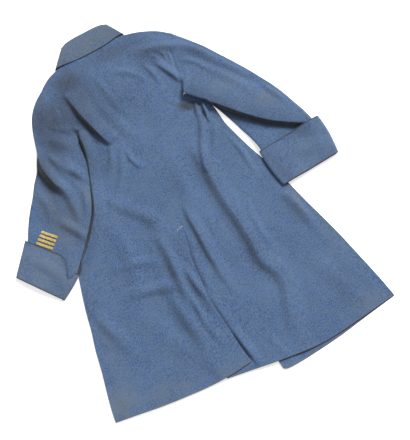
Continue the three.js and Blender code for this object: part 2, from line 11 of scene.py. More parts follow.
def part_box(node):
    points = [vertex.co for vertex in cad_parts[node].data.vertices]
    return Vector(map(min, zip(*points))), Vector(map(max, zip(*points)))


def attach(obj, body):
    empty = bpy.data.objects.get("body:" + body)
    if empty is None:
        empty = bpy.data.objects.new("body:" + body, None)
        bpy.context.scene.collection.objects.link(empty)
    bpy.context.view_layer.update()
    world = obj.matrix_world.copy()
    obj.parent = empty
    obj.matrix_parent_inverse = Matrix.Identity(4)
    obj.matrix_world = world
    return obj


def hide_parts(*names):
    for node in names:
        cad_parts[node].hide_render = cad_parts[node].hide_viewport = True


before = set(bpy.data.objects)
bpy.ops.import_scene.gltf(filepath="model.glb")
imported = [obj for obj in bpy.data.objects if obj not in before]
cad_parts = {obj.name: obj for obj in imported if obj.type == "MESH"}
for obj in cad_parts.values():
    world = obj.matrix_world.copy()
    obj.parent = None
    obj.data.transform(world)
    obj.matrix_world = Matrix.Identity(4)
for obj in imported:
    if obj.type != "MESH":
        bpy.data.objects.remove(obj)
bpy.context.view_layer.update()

# Fronts
# Two long panels of milled wool that close at the middle when the coat is worn. The coat lies on
# them: the left one flat on the table, the right one over it where they lap, its hem showing below.

MM = 0.001
CLOTH = 2.6
SEAM = 0.3
LAYER = CLOTH + SEAM
PLY_SLACK = 0.9
WALL = 2.3
RIM_OUT = 0.4
TABLE_CLEAR = 0.02
CELL = 4.2
EDGE_CELL = 1.1
# Points of a smooth line between two rows of a table
STEPS = 16
# A point so far below a panel that its outer face looks away from it
FAR_BELOW = 500
NECK_ROWS_FRONT = 2

# The right hem corner of the right front on the chart, which the frame's own corner fixes
HEM_CORNER = (462, -1144)
front_low, front_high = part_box("front_right")
chart_shift = (front_high[0] / MM - HEM_CORNER[0], front_low[1] / MM - HEM_CORNER[1])


def ramp(start, end, value):
    t = np.clip((value - start) / (end - start), 0, 1)
    return t * t * (3 - 2 * t)


def slope(pair, value, edge=0.0):
    return ramp(edge + pair[0], edge + pair[1], value)


def smooth(values, corners=()):
    """A smooth line through the rows of a table, with a corner at the rows named."""
    last = len(values) - 1
    t = np.linspace(0, 1, STEPS, endpoint=False)[:, None]
    runs = []
    for k in range(last):
        a, b = values[k], values[k + 1]
        before = 2 * a - b if k == 0 or k in corners else values[k - 1]
        after = 2 * b - a if k + 1 == last or k + 1 in corners else values[k + 2]
        leave, arrive = (b - before) / 2, (after - a) / 2
        runs.append((1 + 2 * t) * (1 - t) ** 2 * a + t * (1 - t) ** 2 * leave
                    + t * t * (3 - 2 * t) * b + t * t * (t - 1) * arrive)
    return np.vstack(runs + [values[last:]])


def chart(columns, rows, corners=()):
    """A cutter's chart: named columns, read smoothly from row to row."""
    values = smooth(np.array(rows, float), corners)
    return {name: values[:, k] for k, name in enumerate(columns.split())}


def at(table, name, row):
    column = table[name]
    return np.interp(np.asarray(row) * STEPS, np.arange(len(column)), column)


def last_row(table):
    return (len(next(iter(table.values()))) - 1) / STEPS


def read(table, known, wanted, value, first=0):
    """One column of a chart where another, rising or falling all along, has a value."""
    xs, ys = table[known][first * STEPS:], table[wanted][first * STEPS:]
    sign = 1 if xs[-1] > xs[0] else -1
    return np.interp(sign * np.asarray(value), sign * xs, ys)


SECTION = "in_x in_y out_x out_y"
front_right = chart(SECTION, [
    [-8, -88, 254, -51],
    [-62, -124, 224, -150.5],
    [-66, -200, 194, -250],
    [-60, -290, 252, -308],
    [-46, -400, 270, -408],
    [-30, -520, 304, -520],
    [-8, -650, 346, -646],
    [16, -780, 384, -780],
    [40, -900, 417, -900],
    [60, -1020, 447, -1020],
    [76, -1139, 462, -1097],
], corners=(1, 2))
front_left = chart(SECTION, [
    [8, -88, -190, -43],
    [66, -124, -172.5, -133.5],
    [70, -200, -155, -224],
    [72, -270, -159, -264],
    [74, -300, -200, -292],
    [76, -360, -236, -360],
    [80, -480, -275, -480],
    [84, -640, -334, -640],
    [88, -780, -363, -780],
    [92, -900, -385, -900],
    [94, -1010, -405, -1005],
    [95, -1092, -410, -1058],
], corners=(1, 2))

POINT = "x y"
neck_front_right = chart(POINT, [
    [-8, -88], [14, -86], [38.3, -75.3], [66.5, -46], [84, -9], [95, 14],
    [118, 8], [150, 2], [184, -8], [218, -24], [254, -51],
], corners=(5,))
neck_front_left = chart(POINT, [
    [8, -88], [-14, -88.2], [-38.3, -81], [-66.5, -56], [-84, -21.5], [-95, 2],
    [-112, -3], [-130, -8], [-150, -16], [-170, -27], [-190, -43],
], corners=(5,))
hem_front_right = chart(POINT, [
    [76, -1139], [90, -1144], [137, -1143], [183, -1139], [230, -1134], [276, -1128],
    [323, -1120], [369, -1112], [400, -1107], [432, -1102], [462, -1097],
])
hem_front_left = chart(POINT, [
    [95, -1092], [45, -1084], [-6, -1076], [-57, -1079], [-107, -1080], [-158, -1078],
    [-208, -1076], [-259, -1072], [-309, -1067], [-360, -1061], [-410, -1058],
])

# Slopes of the fronts over the collar's leaves and over each other, as their start and full height
COLLAR_UNDER_FRONT_X = (190, 132)
COLLAR_UNDER_FRONT_Y = (-225, -150)
FRONT_LAP_X = (60, 8)
FRONT_LAP_TOP = (-62, -88)


def spaced(length):
    """Shares from 0 to 1 a cell apart, with one more close to each end for the rounded edge."""
    even = np.linspace(0, 1, int(length / CELL))
    close = EDGE_CELL / length
    return np.concatenate([[0, close], even[1:-1], [1 - close, 1]])


def panel(sections, top, hem, fade, length, width):
    """Points of a cut piece on the chart, rows from neck to hem and columns from centre to side."""
    last = last_row(sections)
    row = last * spaced(length)[:, None]
    across = spaced(width)[None, :]

    def straight(r, axis):
        return at(sections, "in_" + axis, r) * (1 - across) + at(sections, "out_" + axis, r) * across

    def bent(axis):
        neck = at(top, axis, across * last_row(top)) - straight(0, axis)
        foot = at(hem, axis, across * last_row(hem)) - straight(last, axis)
        return straight(row, axis) + ramp(fade, 0, row) * neck + ramp(last - 2, last, row) * foot

    return bent("x"), bent("y")


def lean_out(points, wrap):
    """Unit normals of a grid of points, out of a tube or up from a panel."""
    if wrap:
        along = np.roll(points, -1, 1) - np.roll(points, 1, 1)
    else:
        along = np.gradient(points, axis=1)
    down = np.gradient(points, axis=0)
    normal = np.cross(along, down)
    normal /= np.linalg.norm(normal, axis=2, keepdims=True) + 1e-9
    middle = points.mean(axis=(0, 1)) - np.array([0, 0, 0 if wrap else FAR_BELOW])
    facing = np.sum(normal * (points - middle))
    return normal if facing > 0 else -normal


def laid(name, data):
    """A new object in the scene, made of a mesh, a curve, a light or a camera."""
    made = bpy.data.objects.new(name, data)
    bpy.context.collection.objects.link(made)
    return made


def cloth(name, outer, wall=WALL, wrap=False, inner=None, marks=None):
    """A closed wall of cloth under a grid of points, with rounded raw edges."""
    rows, columns = outer.shape[:2]
    if inner is None:
        inner = outer - lean_out(outer, wrap) * wall
    number = np.arange(rows * columns).reshape(rows, columns)
    if wrap:
        loops = [[(i, j) for j in range(columns)] for i in (0, rows - 1)]
    else:
        neck = [(0, j) for j in range(columns - 1)]
        side = [(i, columns - 1) for i in range(rows - 1)]
        hem = [(rows - 1, j) for j in range(columns - 1, 0, -1)]
        centre = [(i, 0) for i in range(rows - 1, 0, -1)]
        loops = [neck + side + hem + centre]
    across = np.arange(columns) if wrap else np.arange(columns - 1)
    beside = (across + 1) % columns
    quads = []
    for shift in (0, rows * columns):
        a, b = number[:-1][:, across], number[:-1][:, beside]
        c, d = number[1:][:, beside], number[1:][:, across]
        quads.append(np.stack([a, b, c, d], -1).reshape(-1, 4) + shift)
    points = [outer.reshape(-1, 3), inner.reshape(-1, 3)]
    count = 2 * rows * columns
    for loop in loops:
        i, j = np.array(loop).T
        near_i = np.clip(i, 1, rows - 2)
        near_j = j if wrap else np.clip(j, 1, columns - 2)
        out = outer[i, j] - outer[near_i, near_j]
        out /= np.linalg.norm(out, axis=1, keepdims=True) + 1e-9
        points.append((outer[i, j] + inner[i, j]) / 2 + out * wall * RIM_OUT)
        edge = number[i, j]
        rim = np.arange(count, count + len(loop))
        for face in (edge, edge + rows * columns):
            quads.append(np.stack([face, np.roll(face, -1), np.roll(rim, -1), rim], -1))
        count += len(loop)
    placed = np.vstack(points)
    placed[:, 0] += chart_shift[0]
    placed[:, 1] += chart_shift[1]
    placed[:, 2] = np.maximum(placed[:, 2], TABLE_CLEAR)
    mesh = bpy.data.meshes.new(name)
    mesh.from_pydata((placed * MM).tolist(), [], np.vstack(quads).tolist())
    for mark, values in (marks or {}).items():
        flat = np.asarray(values, float).reshape(-1)
        rims = [np.asarray(values)[tuple(np.array(loop).T)] for loop in loops]
        layer = mesh.attributes.new(mark, "FLOAT", "POINT")
        layer.data.foreach_set("value", np.concatenate([flat, flat] + rims))
    turn_outward(mesh)
    mesh.shade_smooth()
    return laid(name, mesh)


def turn_outward(mesh):
    shape = bmesh.new()
    shape.from_mesh(mesh)
    bmesh.ops.recalc_face_normals(shape, faces=shape.faces)
    shape.to_mesh(mesh)
    shape.free()


def from_edge(points, sides):
    """Distance in millimetres from the named cut edges of a grid, along the cloth."""
    down = np.linalg.norm(np.diff(points, axis=0), axis=2)
    along = np.linalg.norm(np.diff(points, axis=1), axis=2)
    zero_row = np.zeros((1, points.shape[1]))
    zero_column = np.zeros((points.shape[0], 1))
    reach = {
        "neck": np.vstack([zero_row, np.cumsum(down, axis=0)]),
        "hem": np.vstack([np.cumsum(down[::-1], axis=0)[::-1], zero_row]),
        "centre": np.hstack([zero_column, np.cumsum(along, axis=1)]),
        "side": np.hstack([np.cumsum(along[:, ::-1], axis=1)[:, ::-1], zero_column]),
    }
    return np.minimum.reduce([reach[side] for side in sides])


def worn_line(points, sides, width=7.0):
    return ramp(width, 0, from_edge(points, sides))


def feed(tree, inputs, values):
    """Each named input takes a link from another node, or a constant."""
    for name, value in values.items():
        if hasattr(value, "is_output"):
            tree.links.new(value, inputs[name])
        else:
            inputs[name].default_value = value


def node(tree, kind, values=None, **settings):
    made = tree.nodes.new("ShaderNode" + kind)
    for name, value in settings.items():
        setattr(made, name, value)
    feed(tree, made.inputs, values or {})
    return made


def grain(tree, place, scale, detail=2.0, stretch=(1, 1, 1), turn=0.0):
    """Noise of so many waves to the metre, drawn out along one way of the cloth."""
    mapped = node(tree, "Mapping", {"Vector": place, "Scale": stretch, "Rotation": (0, 0, turn)})
    return node(tree, "TexNoise", {"Vector": mapped.outputs[0], "Scale": scale, "Detail": detail}).outputs[0]


def spread(tree, value, low, high, to_low=0.0, to_high=1.0):
    return node(tree, "MapRange", {"Value": value, "From Min": low, "From Max": high, "To Min": to_low,
                                   "To Max": to_high}, interpolation_type="SMOOTHSTEP").outputs[0]


def tint(tree, share, under, over):
    """One colour laid over another by a share; 0, 6 and 7 are the mix node's colour inputs."""
    return node(tree, "Mix", {0: share, 6: under, 7: over}, data_type="RGBA").outputs[2]


def times(tree, a, b):
    return node(tree, "Math", {0: a, 1: b}, operation="MULTIPLY").outputs[0]


def plus(tree, a, b):
    return node(tree, "Math", {0: a, 1: b}, operation="ADD").outputs[0]


def marked(tree, name):
    """A share that the cloth's points carry, such as how worn they are."""
    return node(tree, "Attribute", attribute_name=name).outputs["Fac"]


def new_finish(name):
    """A new material: itself, its nodes, the inputs of its surface, and the place on the object."""
    material = bpy.data.materials.new(name)
    material.use_nodes = True
    tree = material.node_tree
    return material, tree, tree.nodes["Principled BSDF"].inputs, node(tree, "TexCoord").outputs["Object"]


NAVY = (0.033, 0.056, 0.115, 1)
HORIZON_BLUE = (0.056, 0.106, 0.211, 1)
PALE_BLUE = (0.100, 0.164, 0.280, 1)
GREEN_GREY = (0.078, 0.116, 0.160, 1)
CUFF_PALE = (0.120, 0.172, 0.272, 1)
BROWN_FLECK = (0.080, 0.078, 0.090, 1)
WORN_GREY = (0.110, 0.110, 0.115, 1)
OLIVE_FADE = (0.100, 0.122, 0.142, 1)
# Near black, for painted shade in creases and under folds, and for dirt
SHADE_AND_DIRT = (0.019, 0.018, 0.018, 1)


def milled_wool(name, navy=NAVY, blue=HORIZON_BLUE, pale=PALE_BLUE, turn=0.0):
    """Heathered blue wool, felted on its face, with worn edges, faded patches, dirt, and painted shade in its
    creases.
    """
    material, tree, surface, place = new_finish(name)
    tufts = grain(tree, place, 280, 1.0, (1, 0.7, 1), turn)
    fibres = grain(tree, place, 950, 2.0, (1, 0.3, 1), turn + 0.5)
    cross_fibres = grain(tree, place, 1100, 2.0, (1, 0.25, 1), turn - 0.9)
    flecks = grain(tree, place, 620, 1.0, (1, 0.4, 1), turn + 1.3)
    mottle = grain(tree, place, 60, 2.0, (1, 0.7, 1), turn + 0.8)
    clouds = grain(tree, place, 34, 3.0, (1, 0.8, 1), turn)
    fading = grain(tree, place, 6.5, 2.0)
    colour = tint(tree, spread(tree, tufts, 0.36, 0.62), navy, blue)
    for strands, low, high, most, over in (
        (fibres, 0.50, 0.74, 0.50, pale),
        (cross_fibres, 0.60, 0.80, 0.45, navy),
        (flecks, 0.66, 0.80, 0.26, BROWN_FLECK),
        (clouds, 0.30, 0.72, 0.30, blue),
        (fading, 0.38, 0.66, 0.16, pale),
        (mottle, 0.42, 0.66, 0.24, GREEN_GREY),
    ):
        colour = tint(tree, spread(tree, strands, low, high, 0.0, most), colour, over)
    # The last but one mark paints shade into creases and under folds, and dirt on some patches
    for mark, low, high, least, most, over in (
        ("faded", 0.25, 0.65, 0.35, 1.0, OLIVE_FADE),
        ("dirt_and_painted_shade", 0.2, 0.6, 0.7, 1.0, SHADE_AND_DIRT),
        ("worn", 0.2, 0.6, 0.35, 0.85, WORN_GREY),
    ):
        patchy = times(tree, marked(tree, mark), spread(tree, clouds, low, high, least, most))
        colour = tint(tree, patchy, colour, over)
    felt = plus(tree, tufts, plus(tree, fibres, cross_fibres))
    fine = node(tree, "Bump", {"Height": felt, "Strength": 0.55, "Distance": 0.0007})
    broad = node(tree, "Bump", {"Height": clouds, "Strength": 0.35, "Distance": 0.0018,
                                "Normal": fine.outputs[0]})
    feed(tree, surface, {
        "Base Color": colour,
        "Roughness": spread(tree, tufts, 0.2, 0.8, 0.98, 0.86),
        "Specular IOR Level": 0.22,
        "Sheen Weight": 0.16,
        "Sheen Roughness": 0.55,
        "Sheen Tint": (0.78, 0.86, 1.0, 1),
        "Normal": broad.outputs[0],
    })
    return material


def finish(piece, material):
    """The piece's finish, and the body that it lies with."""
    piece.data.materials.append(material)
    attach(piece, "root")


def leading_edge(sections, y):
    return read(sections, "in_y", "in_x", y, first=1)


def front_over_collar(x, y):
    return LAYER * slope(COLLAR_UNDER_FRONT_X, np.abs(x)) * slope(COLLAR_UNDER_FRONT_Y, y)


def front_right_under(x, y):
    lap = slope(FRONT_LAP_X, x, leading_edge(front_left, y)) * slope(FRONT_LAP_TOP, y)
    return front_over_collar(x, y) + (LAYER + PLY_SLACK) * lap


front_wool = milled_wool("wool_front", turn=0.03)
for name, sections, neck, hem, under, flat, area in (
    ("front_left", front_left, neck_front_left, hem_front_left, front_over_collar, (0.52, 1.10), 0.385),
    ("front_right", front_right, neck_front_right, hem_front_right, front_right_under, (0.54, 1.16), 0.375),
):
    x, y = panel(sections, neck, hem, NECK_ROWS_FRONT, flat[1] / MM, flat[0] / MM)
    points = np.stack([x, y, under(x, y) + WALL], -1)
    front = cloth(name + "_cloth", points, marks={"worn": worn_line(points, ("hem", "centre"), 6.0)})
    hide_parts(name)
    finish(front, front_wool)

# Back
# Two wool panels sewn down the centre to the vent. Below it the left one is free and lies over an
# underlap of the right one. Their folds fell as the coat was laid down and smoothed by hand.

VENT_TOP = -645
UNDERLAP = 80
UNDERLAP_FLATTER = 0.5
CROWN = 2
CROWN_AT_NECK = 1.5
CROWN_REACH = 50
FOLD_EDGE_REACH = 30
ARMHOLE_GAIN = 3
NECK_GAIN = 2
NECK_SIDE = 100
SEAM_DIP = 0.35
SEAM_WIDTH = 6
NECK_ROWS_BACK = 3
ARMPIT_ROW = 3
# Every so many points of its smooth line, a fold's crest is read
CREST_STEP = 4
# A fold's end is rounded by its dark side and this share of its lit one
END_ROUND = 0.15
# A crease gets painted shade on its dark side, most at this height of its fold, and a little on its lit side
DARKEST_SHADE_HEIGHT = 14
SHADE_REACH = 1.6
LIT_SHADE = 0.2
BESIDE_GAP = 16
VENT_SEAM_WIDENS = 3
HEM_WORN = 0.6
HEM_WORN_WIDTH = 5.0

back_right = chart(SECTION, [
    [0.15, 18, 254, -51],
    [0.15, -50, 234, -117.3],
    [0.15, -120, 214, -183.7],
    [0.15, -190, 194, -250],
    [0.15, -240, 224, -280],
    [0.15, -290, 252, -308],
    [0.15, -370, 261, -372],
    [0.15, -440, 277, -435],
    [0.15, -510, 300, -508],
    [0.15, -575, 323, -572],
    [0.15, -643, 346, -646],
    [-76, -664, 353, -669],
    [-95, -732, 371, -735],
    [-101, -805, 393, -808],
    [-105, -870, 411, -873],
    [-98, -930, 425, -930],
    [-90, -990, 439, -988],
    [-84, -1045, 452, -1045],
    [-79, -1093, 462, -1095],
], corners=(3, 10, 11))
back_left = chart(SECTION, [
    [-0.15, 18, -190, -43],
    [-0.15, -50, -178.3, -103.3],
    [-0.15, -120, -166.7, -163.7],
    [-0.15, -185, -155, -224],
    [-0.15, -228, -168, -262],
    [-0.15, -266, -200, -292],
    [-0.15, -315, -228, -336],
    [-0.15, -380, -246, -395],
    [-0.15, -445, -268, -460],
    [-0.15, -510, -292, -525],
    [-0.15, -575, -314, -585],
    [-0.6, VENT_TOP, -336, -646],
    [-8, -690, -347, -692],
    [-19, -745, -358, -745],
    [-21, -800, -367, -800],
    [-25, -858, -379, -856],
    [-20, -918, -388, -915],
    [-13, -978, -399, -974],
    [-6, -1034, -408, -1026],
    [1, -1081, -412, -1062],
], corners=(3, 11))
neck_back_right = chart(POINT, [[0.15, 18], [38, 20.8], [74, 22.5], [99, 18], [118, 10], [150, 3],
                                [184, -8], [218, -24], [254, -51]])
neck_back_left = chart(POINT, [[-0.15, 18], [-38, 15.1], [-74, 11.4], [-99, 3], [-130, -8], [-160, -21],
                               [-190, -43]])
hem_back_right = chart(POINT, [[-79, -1093], [-11, -1102], [57, -1112], [124, -1119], [192, -1124],
                               [260, -1121], [327, -1113], [395, -1104], [462, -1095]])
hem_back_left = chart(POINT, [[1, -1081], [-68, -1089], [-137, -1090], [-206, -1086], [-274, -1080],
                              [-343, -1071], [-412, -1062]])

# Slopes over what lies under the back, and where sleeves and cuffs lie on it
COLLAR_UNDER_BACK_X = (230, 132)
COLLAR_UNDER_BACK_Y = (-280, -150)
LAP_LEFT_X = (-95, -10)
LAP_RIGHT_X = (110, 8)
LAP_TOP = (-12, -80)
CROWN_SLOPE_Y = (0, -90)
RIGHT_CUFF_X = (290, 312)
RIGHT_CUFF_TOP = (-500, -525)
RIGHT_CUFF_FOOT = (-690, -670)
LEFT_SLEEVE_X = (30, 4)
LEFT_SLEEVE_TOP = (-215, -235)
LEFT_SLEEVE_FOOT = (-650, -635)
VENT_HIDDEN_X = (6, -30)
VENT_HIDDEN_Y = (10, -20)
VENT_OVER_X = (-45, -4)
VENT_OVER_Y = (36, 2)

# A fold's crest runs through points of the chart, each with its height there. It falls gently on
# its lit side, to the right or above, and steeply on its dark side, over which it may lean.


def fold(lit, dark, lean, *crest):
    line = smooth(np.array(crest, float))[::CREST_STEP]
    full = np.abs(line[:, 2]).max()
    return {"lit": lit, "dark": dark, "lean": lean / full, "line": line}


back_folds = [
    fold(60, 15, 6, (-134, -92, 1), (-128, -124, 6), (-117, -178, 11), (-103, -226, 13), (-91, -264, 13),
         (-80, -294, 8)),
    fold(60, 50, 0, (-128, -120, 1), (-112, -180, 3), (-96, -235, 4), (-84, -280, 2)),
    fold(40, 36, 0, (-59, -25, 1), (-87, -51, 5), (-115, -76, 7), (-130, -96, 4)),
    fold(34, 26, 0, (-57, -125, 1), (-52, -188, 4), (-33, -250, 4), (-11, -304, 2)),
    fold(20, 20, 0, (-24, -92, 1), (-20, -140, 3), (-10, -186, 2), (8, -230, 1)),
    fold(18, 10, 1, (-45, -342, 1), (-42, -383, 4), (-32, -408, 3), (-16, -420, 1)),
    fold(16, 12, 0, (-85, -318, 3), (-98, -355, 4), (-122, -390, 1)),
    fold(24, 14, 0, (-56, -330, 1), (-72, -372, 3), (-104, -430, 3), (-150, -470, 1)),
    fold(24, 14, 2, (162, -110, 2), (176, -145, 6), (192, -176, 7), (206, -206, 5)),
    fold(18, 12, 0, (126, -110, 1), (138, -147, 4), (143, -182, 2)),
    fold(10, 9, 3, (236, -304, 9), (231, -334, 11), (226, -368, 4)),
    fold(12, 8, 1, (214, -300, 5), (206, -322, 6), (200, -345, 2)),
    fold(24, 13, 1, (206, -345, 2), (193, -385, 6), (170, -430, 6), (154, -475, 7), (147, -510, 4)),
    fold(26, 20, 0, (176, -262, -2), (200, -286, -3), (226, -306, -2)),
    fold(18, 13, 0, (237, -390, 2), (212, -431, 5), (189, -466, 2)),
    fold(18, 14, 0, (256, -436, 1), (268, -490, 4), (272, -533, 3), (274, -575, 1)),
    fold(56, 28, 2, (143, -430, 2), (147, -485, 7), (149, -533, 9), (150, -590, 8), (154, -640, 8),
         (161, -690, 8), (166, -760, 9), (165, -801, 9), (168, -838, 8), (182, -868, 7), (194, -897, 6),
         (190, -935, 5), (176, -980, 5), (164, -1024, 4), (154, -1080, 1)),
    fold(34, 16, 2, (37, -574, 1), (35, -619, 6), (36, -664, 8), (37, -702, 8), (37, -740, 7), (40, -774, 6),
         (41, -811, 4), (46, -850, 3), (50, -885, 1)),
    fold(26, 22, 1, (-79, -612, 1), (-74, -657, 5), (-73, -698, 7), (-74, -735, 8), (-75, -770, 8),
         (-77, -806, 6), (-80, -844, 4), (-82, -884, 1)),
    fold(18, 18, 1, (-48, -748, 1), (-43, -785, 6), (-37, -822, 7), (-31, -855, 5), (-29, -890, 2)),
    fold(16, 12, 0, (-71, -835, 1), (-67, -870, 5), (-67, -908, 4), (-70, -945, 1)),
    fold(34, 26, 0, (-118, -800, 1), (-113, -846, 4), (-108, -890, 5), (-101, -930, 5), (-96, -970, 3),
         (-84, -1010, 1)),
    fold(38, 26, 0, (-164, -466, 1), (-135, -498, 4), (-103, -535, 4), (-73, -573, 5), (-62, -612, 3)),
    fold(28, 20, 0, (-228, -669, 1), (-180, -677, 3), (-131, -692, 3), (-104, -713, 1)),
    fold(30, 22, 0, (-232, -758, 1), (-190, -764, 4), (-143, -774, 5), (-110, -785, 4), (-85, -801, 2)),
    fold(36, 26, 0, (-347, -748, 1), (-326, -798, 4), (-306, -852, 4), (-286, -910, 1)),
    fold(22, 20, 0, (80, -1015, 1), (88, -1063, 2), (97, -1104, 1)),
    fold(10, 8, 0, (186, -90, 1), (197, -104, 4), (198, -124, 1)),
    fold(9, 8, 0, (206, -100, 1), (213, -120, 3), (210, -142, 1)),
    fold(12, 9, 0, (148, -90, 1), (166, -99, 3), (177, -117, 1)),
    fold(8, 8, 0, (222, -96, -1), (217, -135, -2), (211, -172, -2), (205, -212, -1)),
    fold(20, 16, 0, (-62, -912, 1), (-57, -955, 3), (-46, -1000, 1)),
    fold(22, 14, 0, (206, -655, 1), (204, -724, 3), (208, -780, 3), (214, -830, 1)),
    fold(36, 26, 0, (316, -634, 1), (332, -698, 5), (348, -762, 5), (356, -825, 1)),
    fold(24, 26, 0, (96, -54, 1), (150, -66, 4), (204, -80, 5), (240, -92, 4)),
    fold(22, 16, 0, (20, -92, 1), (52, -104, 3), (84, -126, 3), (104, -156, 1)),
    fold(44, 40, 0, (-186, -890, 1), (-150, -960, 3), (-112, -1030, 3), (-92, -1080, 1)),
    fold(46, 40, 0, (296, -890, 1), (330, -960, 3), (352, -1030, 3), (360, -1095, 1)),
    fold(46, 40, 0, (72, -410, 1), (62, -500, 3), (66, -600, 3), (84, -700, 1)),
    fold(40, 34, 0, (-190, -560, 1), (-176, -620, 3), (-186, -700, 3), (-214, -790, 1)),
]
# Beside the left sleeve the back bulges, so that a dark gap shows between them; the gap's dark side also gets
# painted shade
sleeve_gap = [
    fold(36, 13, 4, (-149, -222, 4), (-149, -240, 12), (-149, -262, 15), (-151, -292, 14), (-158, -327, 12),
         (-167, -356, 11), (-177, -387, 10), (-189, -430, 10), (-200, -463, 12), (-213, -493, 13),
         (-236, -527, 13), (-254, -552, 13), (-277, -578, 12), (-302, -602, 9), (-322, -622, 4)),
    fold(26, 20, 1, (-146, -230, 1), (-145, -254, 4), (-148, -286, 3), (-156, -320, 1)),
]
# Along the vent's foot the right back rises over a dark gap, whose dark side also gets painted shade
vent_gap = [
    fold(26, 8, 3, (7, -652, 1), (2, -690, 2), (-8, -745, 3), (-11, -800, 3), (-15, -858, 3), (-10, -918, 3),
         (-4, -965, 3), (1, -1000, 6), (7, -1040, 7), (13, -1070, 5), (18, -1105, 1)),
]


def relief(table, x, y):
    """How far folds lift each point and push it sideways, and how much painted shade its crease gives it."""
    lift, push_x, push_y, crease_shade = (np.zeros_like(x) for _ in range(4))
    for each in table:
        line = each["line"]
        reach = max(each["lit"], each["dark"])
        low, high = line.min(axis=0) - reach, line.max(axis=0) + reach
        near = (x > low[0]) & (x < high[0]) & (y > low[1]) & (y < high[1])
        if not near.any():
            continue
        px, py = x[near], y[near]
        best = np.full(px.shape, np.inf)
        side, beyond, height = (np.zeros_like(px) for _ in range(3))
        across_x, across_y = np.zeros_like(px), np.zeros_like(px)
        last = len(line) - 2
        for k, (a, b) in enumerate(zip(line[:-1], line[1:])):
            length = math.hypot(b[0] - a[0], b[1] - a[1])
            dx, dy = (b[0] - a[0]) / length, (b[1] - a[1]) / length
            along = (px - a[0]) * dx + (py - a[1]) * dy
            ahead = np.clip(along, 0, length)
            away = np.hypot(px - a[0] - dx * ahead, py - a[1] - dy * ahead)
            closer = away < best
            best = np.where(closer, away, best)
            side = np.where(closer, dx * (py - a[1]) - dy * (px - a[0]), side)
            outside = np.minimum(along, 0) * (k == 0) + np.maximum(along - length, 0) * (k == last)
            beyond = np.where(closer, outside, beyond)
            height = np.where(closer, a[2] + (b[2] - a[2]) * ahead / length, height)
            across_x = np.where(closer, dy, across_x)
            across_y = np.where(closer, -dx, across_y)
        width = np.where(side > 0, each["lit"], each["dark"])
        rounded = np.hypot(beyond / (each["dark"] + END_ROUND * each["lit"]), side / width)
        away = np.clip(np.where(beyond == 0, best / width, rounded), 0, 1)
        share = 0.5 + 0.5 * np.cos(np.pi * away)
        lift[near] += height * share
        push_x[near] += across_x * height * share * each["lean"]
        push_y[near] += across_y * height * share * each["lean"]
        shaded = np.clip(best / (SHADE_REACH * each["dark"]), 0, 1)
        tall = np.clip(height / DARKEST_SHADE_HEIGHT, 0, 1) ** 2
        shade_depth = np.where(side < 0, 1 - shaded ** 2, LIT_SHADE * share) * tall
        crease_shade[near] = np.maximum(crease_shade[near], shade_depth)
    return lift, push_x, push_y, crease_shade


wave = np.vectorize(lambda x, y, layer: noise.noise(Vector((x, y, layer))))


# Width, length and height of the waves that stay in cloth smoothed down by hand
HAND_WAVES = ((95, 150, 1.5), (42, 58, 0.8), (17, 19, 0.28))


def unevenness(x, y, layer):
    return sum(high * wave(x / wide, y / long, layer + 10 * k)
               for k, (wide, long, high) in enumerate(HAND_WAVES))


def side_seam(sections, y):
    return read(sections, "out_y", "out_x", y, first=ARMPIT_ROW)


def inside_side(x, y):
    """Distance from the side seams inwards, large beside the armholes."""
    left, right = (
        np.abs(side_seam(sections, y)) - np.abs(x)
        + ARMHOLE_GAIN * np.maximum(y - at(sections, "out_y", ARMPIT_ROW), 0)
        for sections in (back_left, back_right)
    )
    return np.where(x < 0, left, right)


def below_shoulder(x, y):
    """Distance below the shoulder seams, large beside the neck."""
    shoulder = np.where(x < 0, read(neck_back_left, "x", "y", x), read(neck_back_right, "x", "y", x))
    return shoulder - y + NECK_GAIN * np.maximum(NECK_SIDE - np.abs(x), 0)


# Sleeve sections are here because the cloth under a sleeve is smooth. "In" is the upper edge,
# which goes on from the shoulder, and "out" the lower one.
sleeve_right = chart(SECTION, [
    [254.3, -51.1, 194.3, -249.6],
    [279, -78, 215, -269.3],
    [303, -107, 234.5, -288.8],
    [328, -139, 253.5, -307.8],
    [355, -180, 262, -332],
    [384, -224, 273, -360],
    [412, -268, 284, -388],
    [437, -311, 294, -416],
    [456, -346, 303, -444],
    [472, -382, 311, -468],
    [486, -420, 316, -488],
    [500, -462, 320, -508],
    [511, -505, 322, -526],
    [519, -548, 325, -566],
    [524, -590, 330, -606],
    [522, -632, 340, -650],
])
sleeve_left = chart(SECTION, [
    [-190.3, -43, -155.3, -224],
    [-228, -74, -157.7, -243],
    [-256, -112, -161.4, -268],
    [-273, -156, -164, -298],
    [-283, -198, -168, -328],
    [-291, -240, -177, -360],
    [-309, -278, -187, -392],
    [-336, -315, -198, -424],
    [-356, -350, -211, -460],
    [-376, -380, -228, -492],
    [-395, -411, -252, -527],
    [-411, -443, -282, -566],
    [-426, -475, -311, -600],
    [-447, -504, -343, -637],
    [-468, -530, -371, -660],
    [-490, -556, -398, -676],
])


def clear_of_sleeve(x, y):
    cuff = slope(RIGHT_CUFF_X, x) * slope(RIGHT_CUFF_TOP, y) * slope(RIGHT_CUFF_FOOT, y)
    edge = read(sleeve_left, "in_y", "in_x", y)
    sleeve = slope(LEFT_SLEEVE_X, x, edge) * slope(LEFT_SLEEVE_TOP, y) * slope(LEFT_SLEEVE_FOOT, y)
    return 1 - np.where(x > 0, cuff, sleeve)


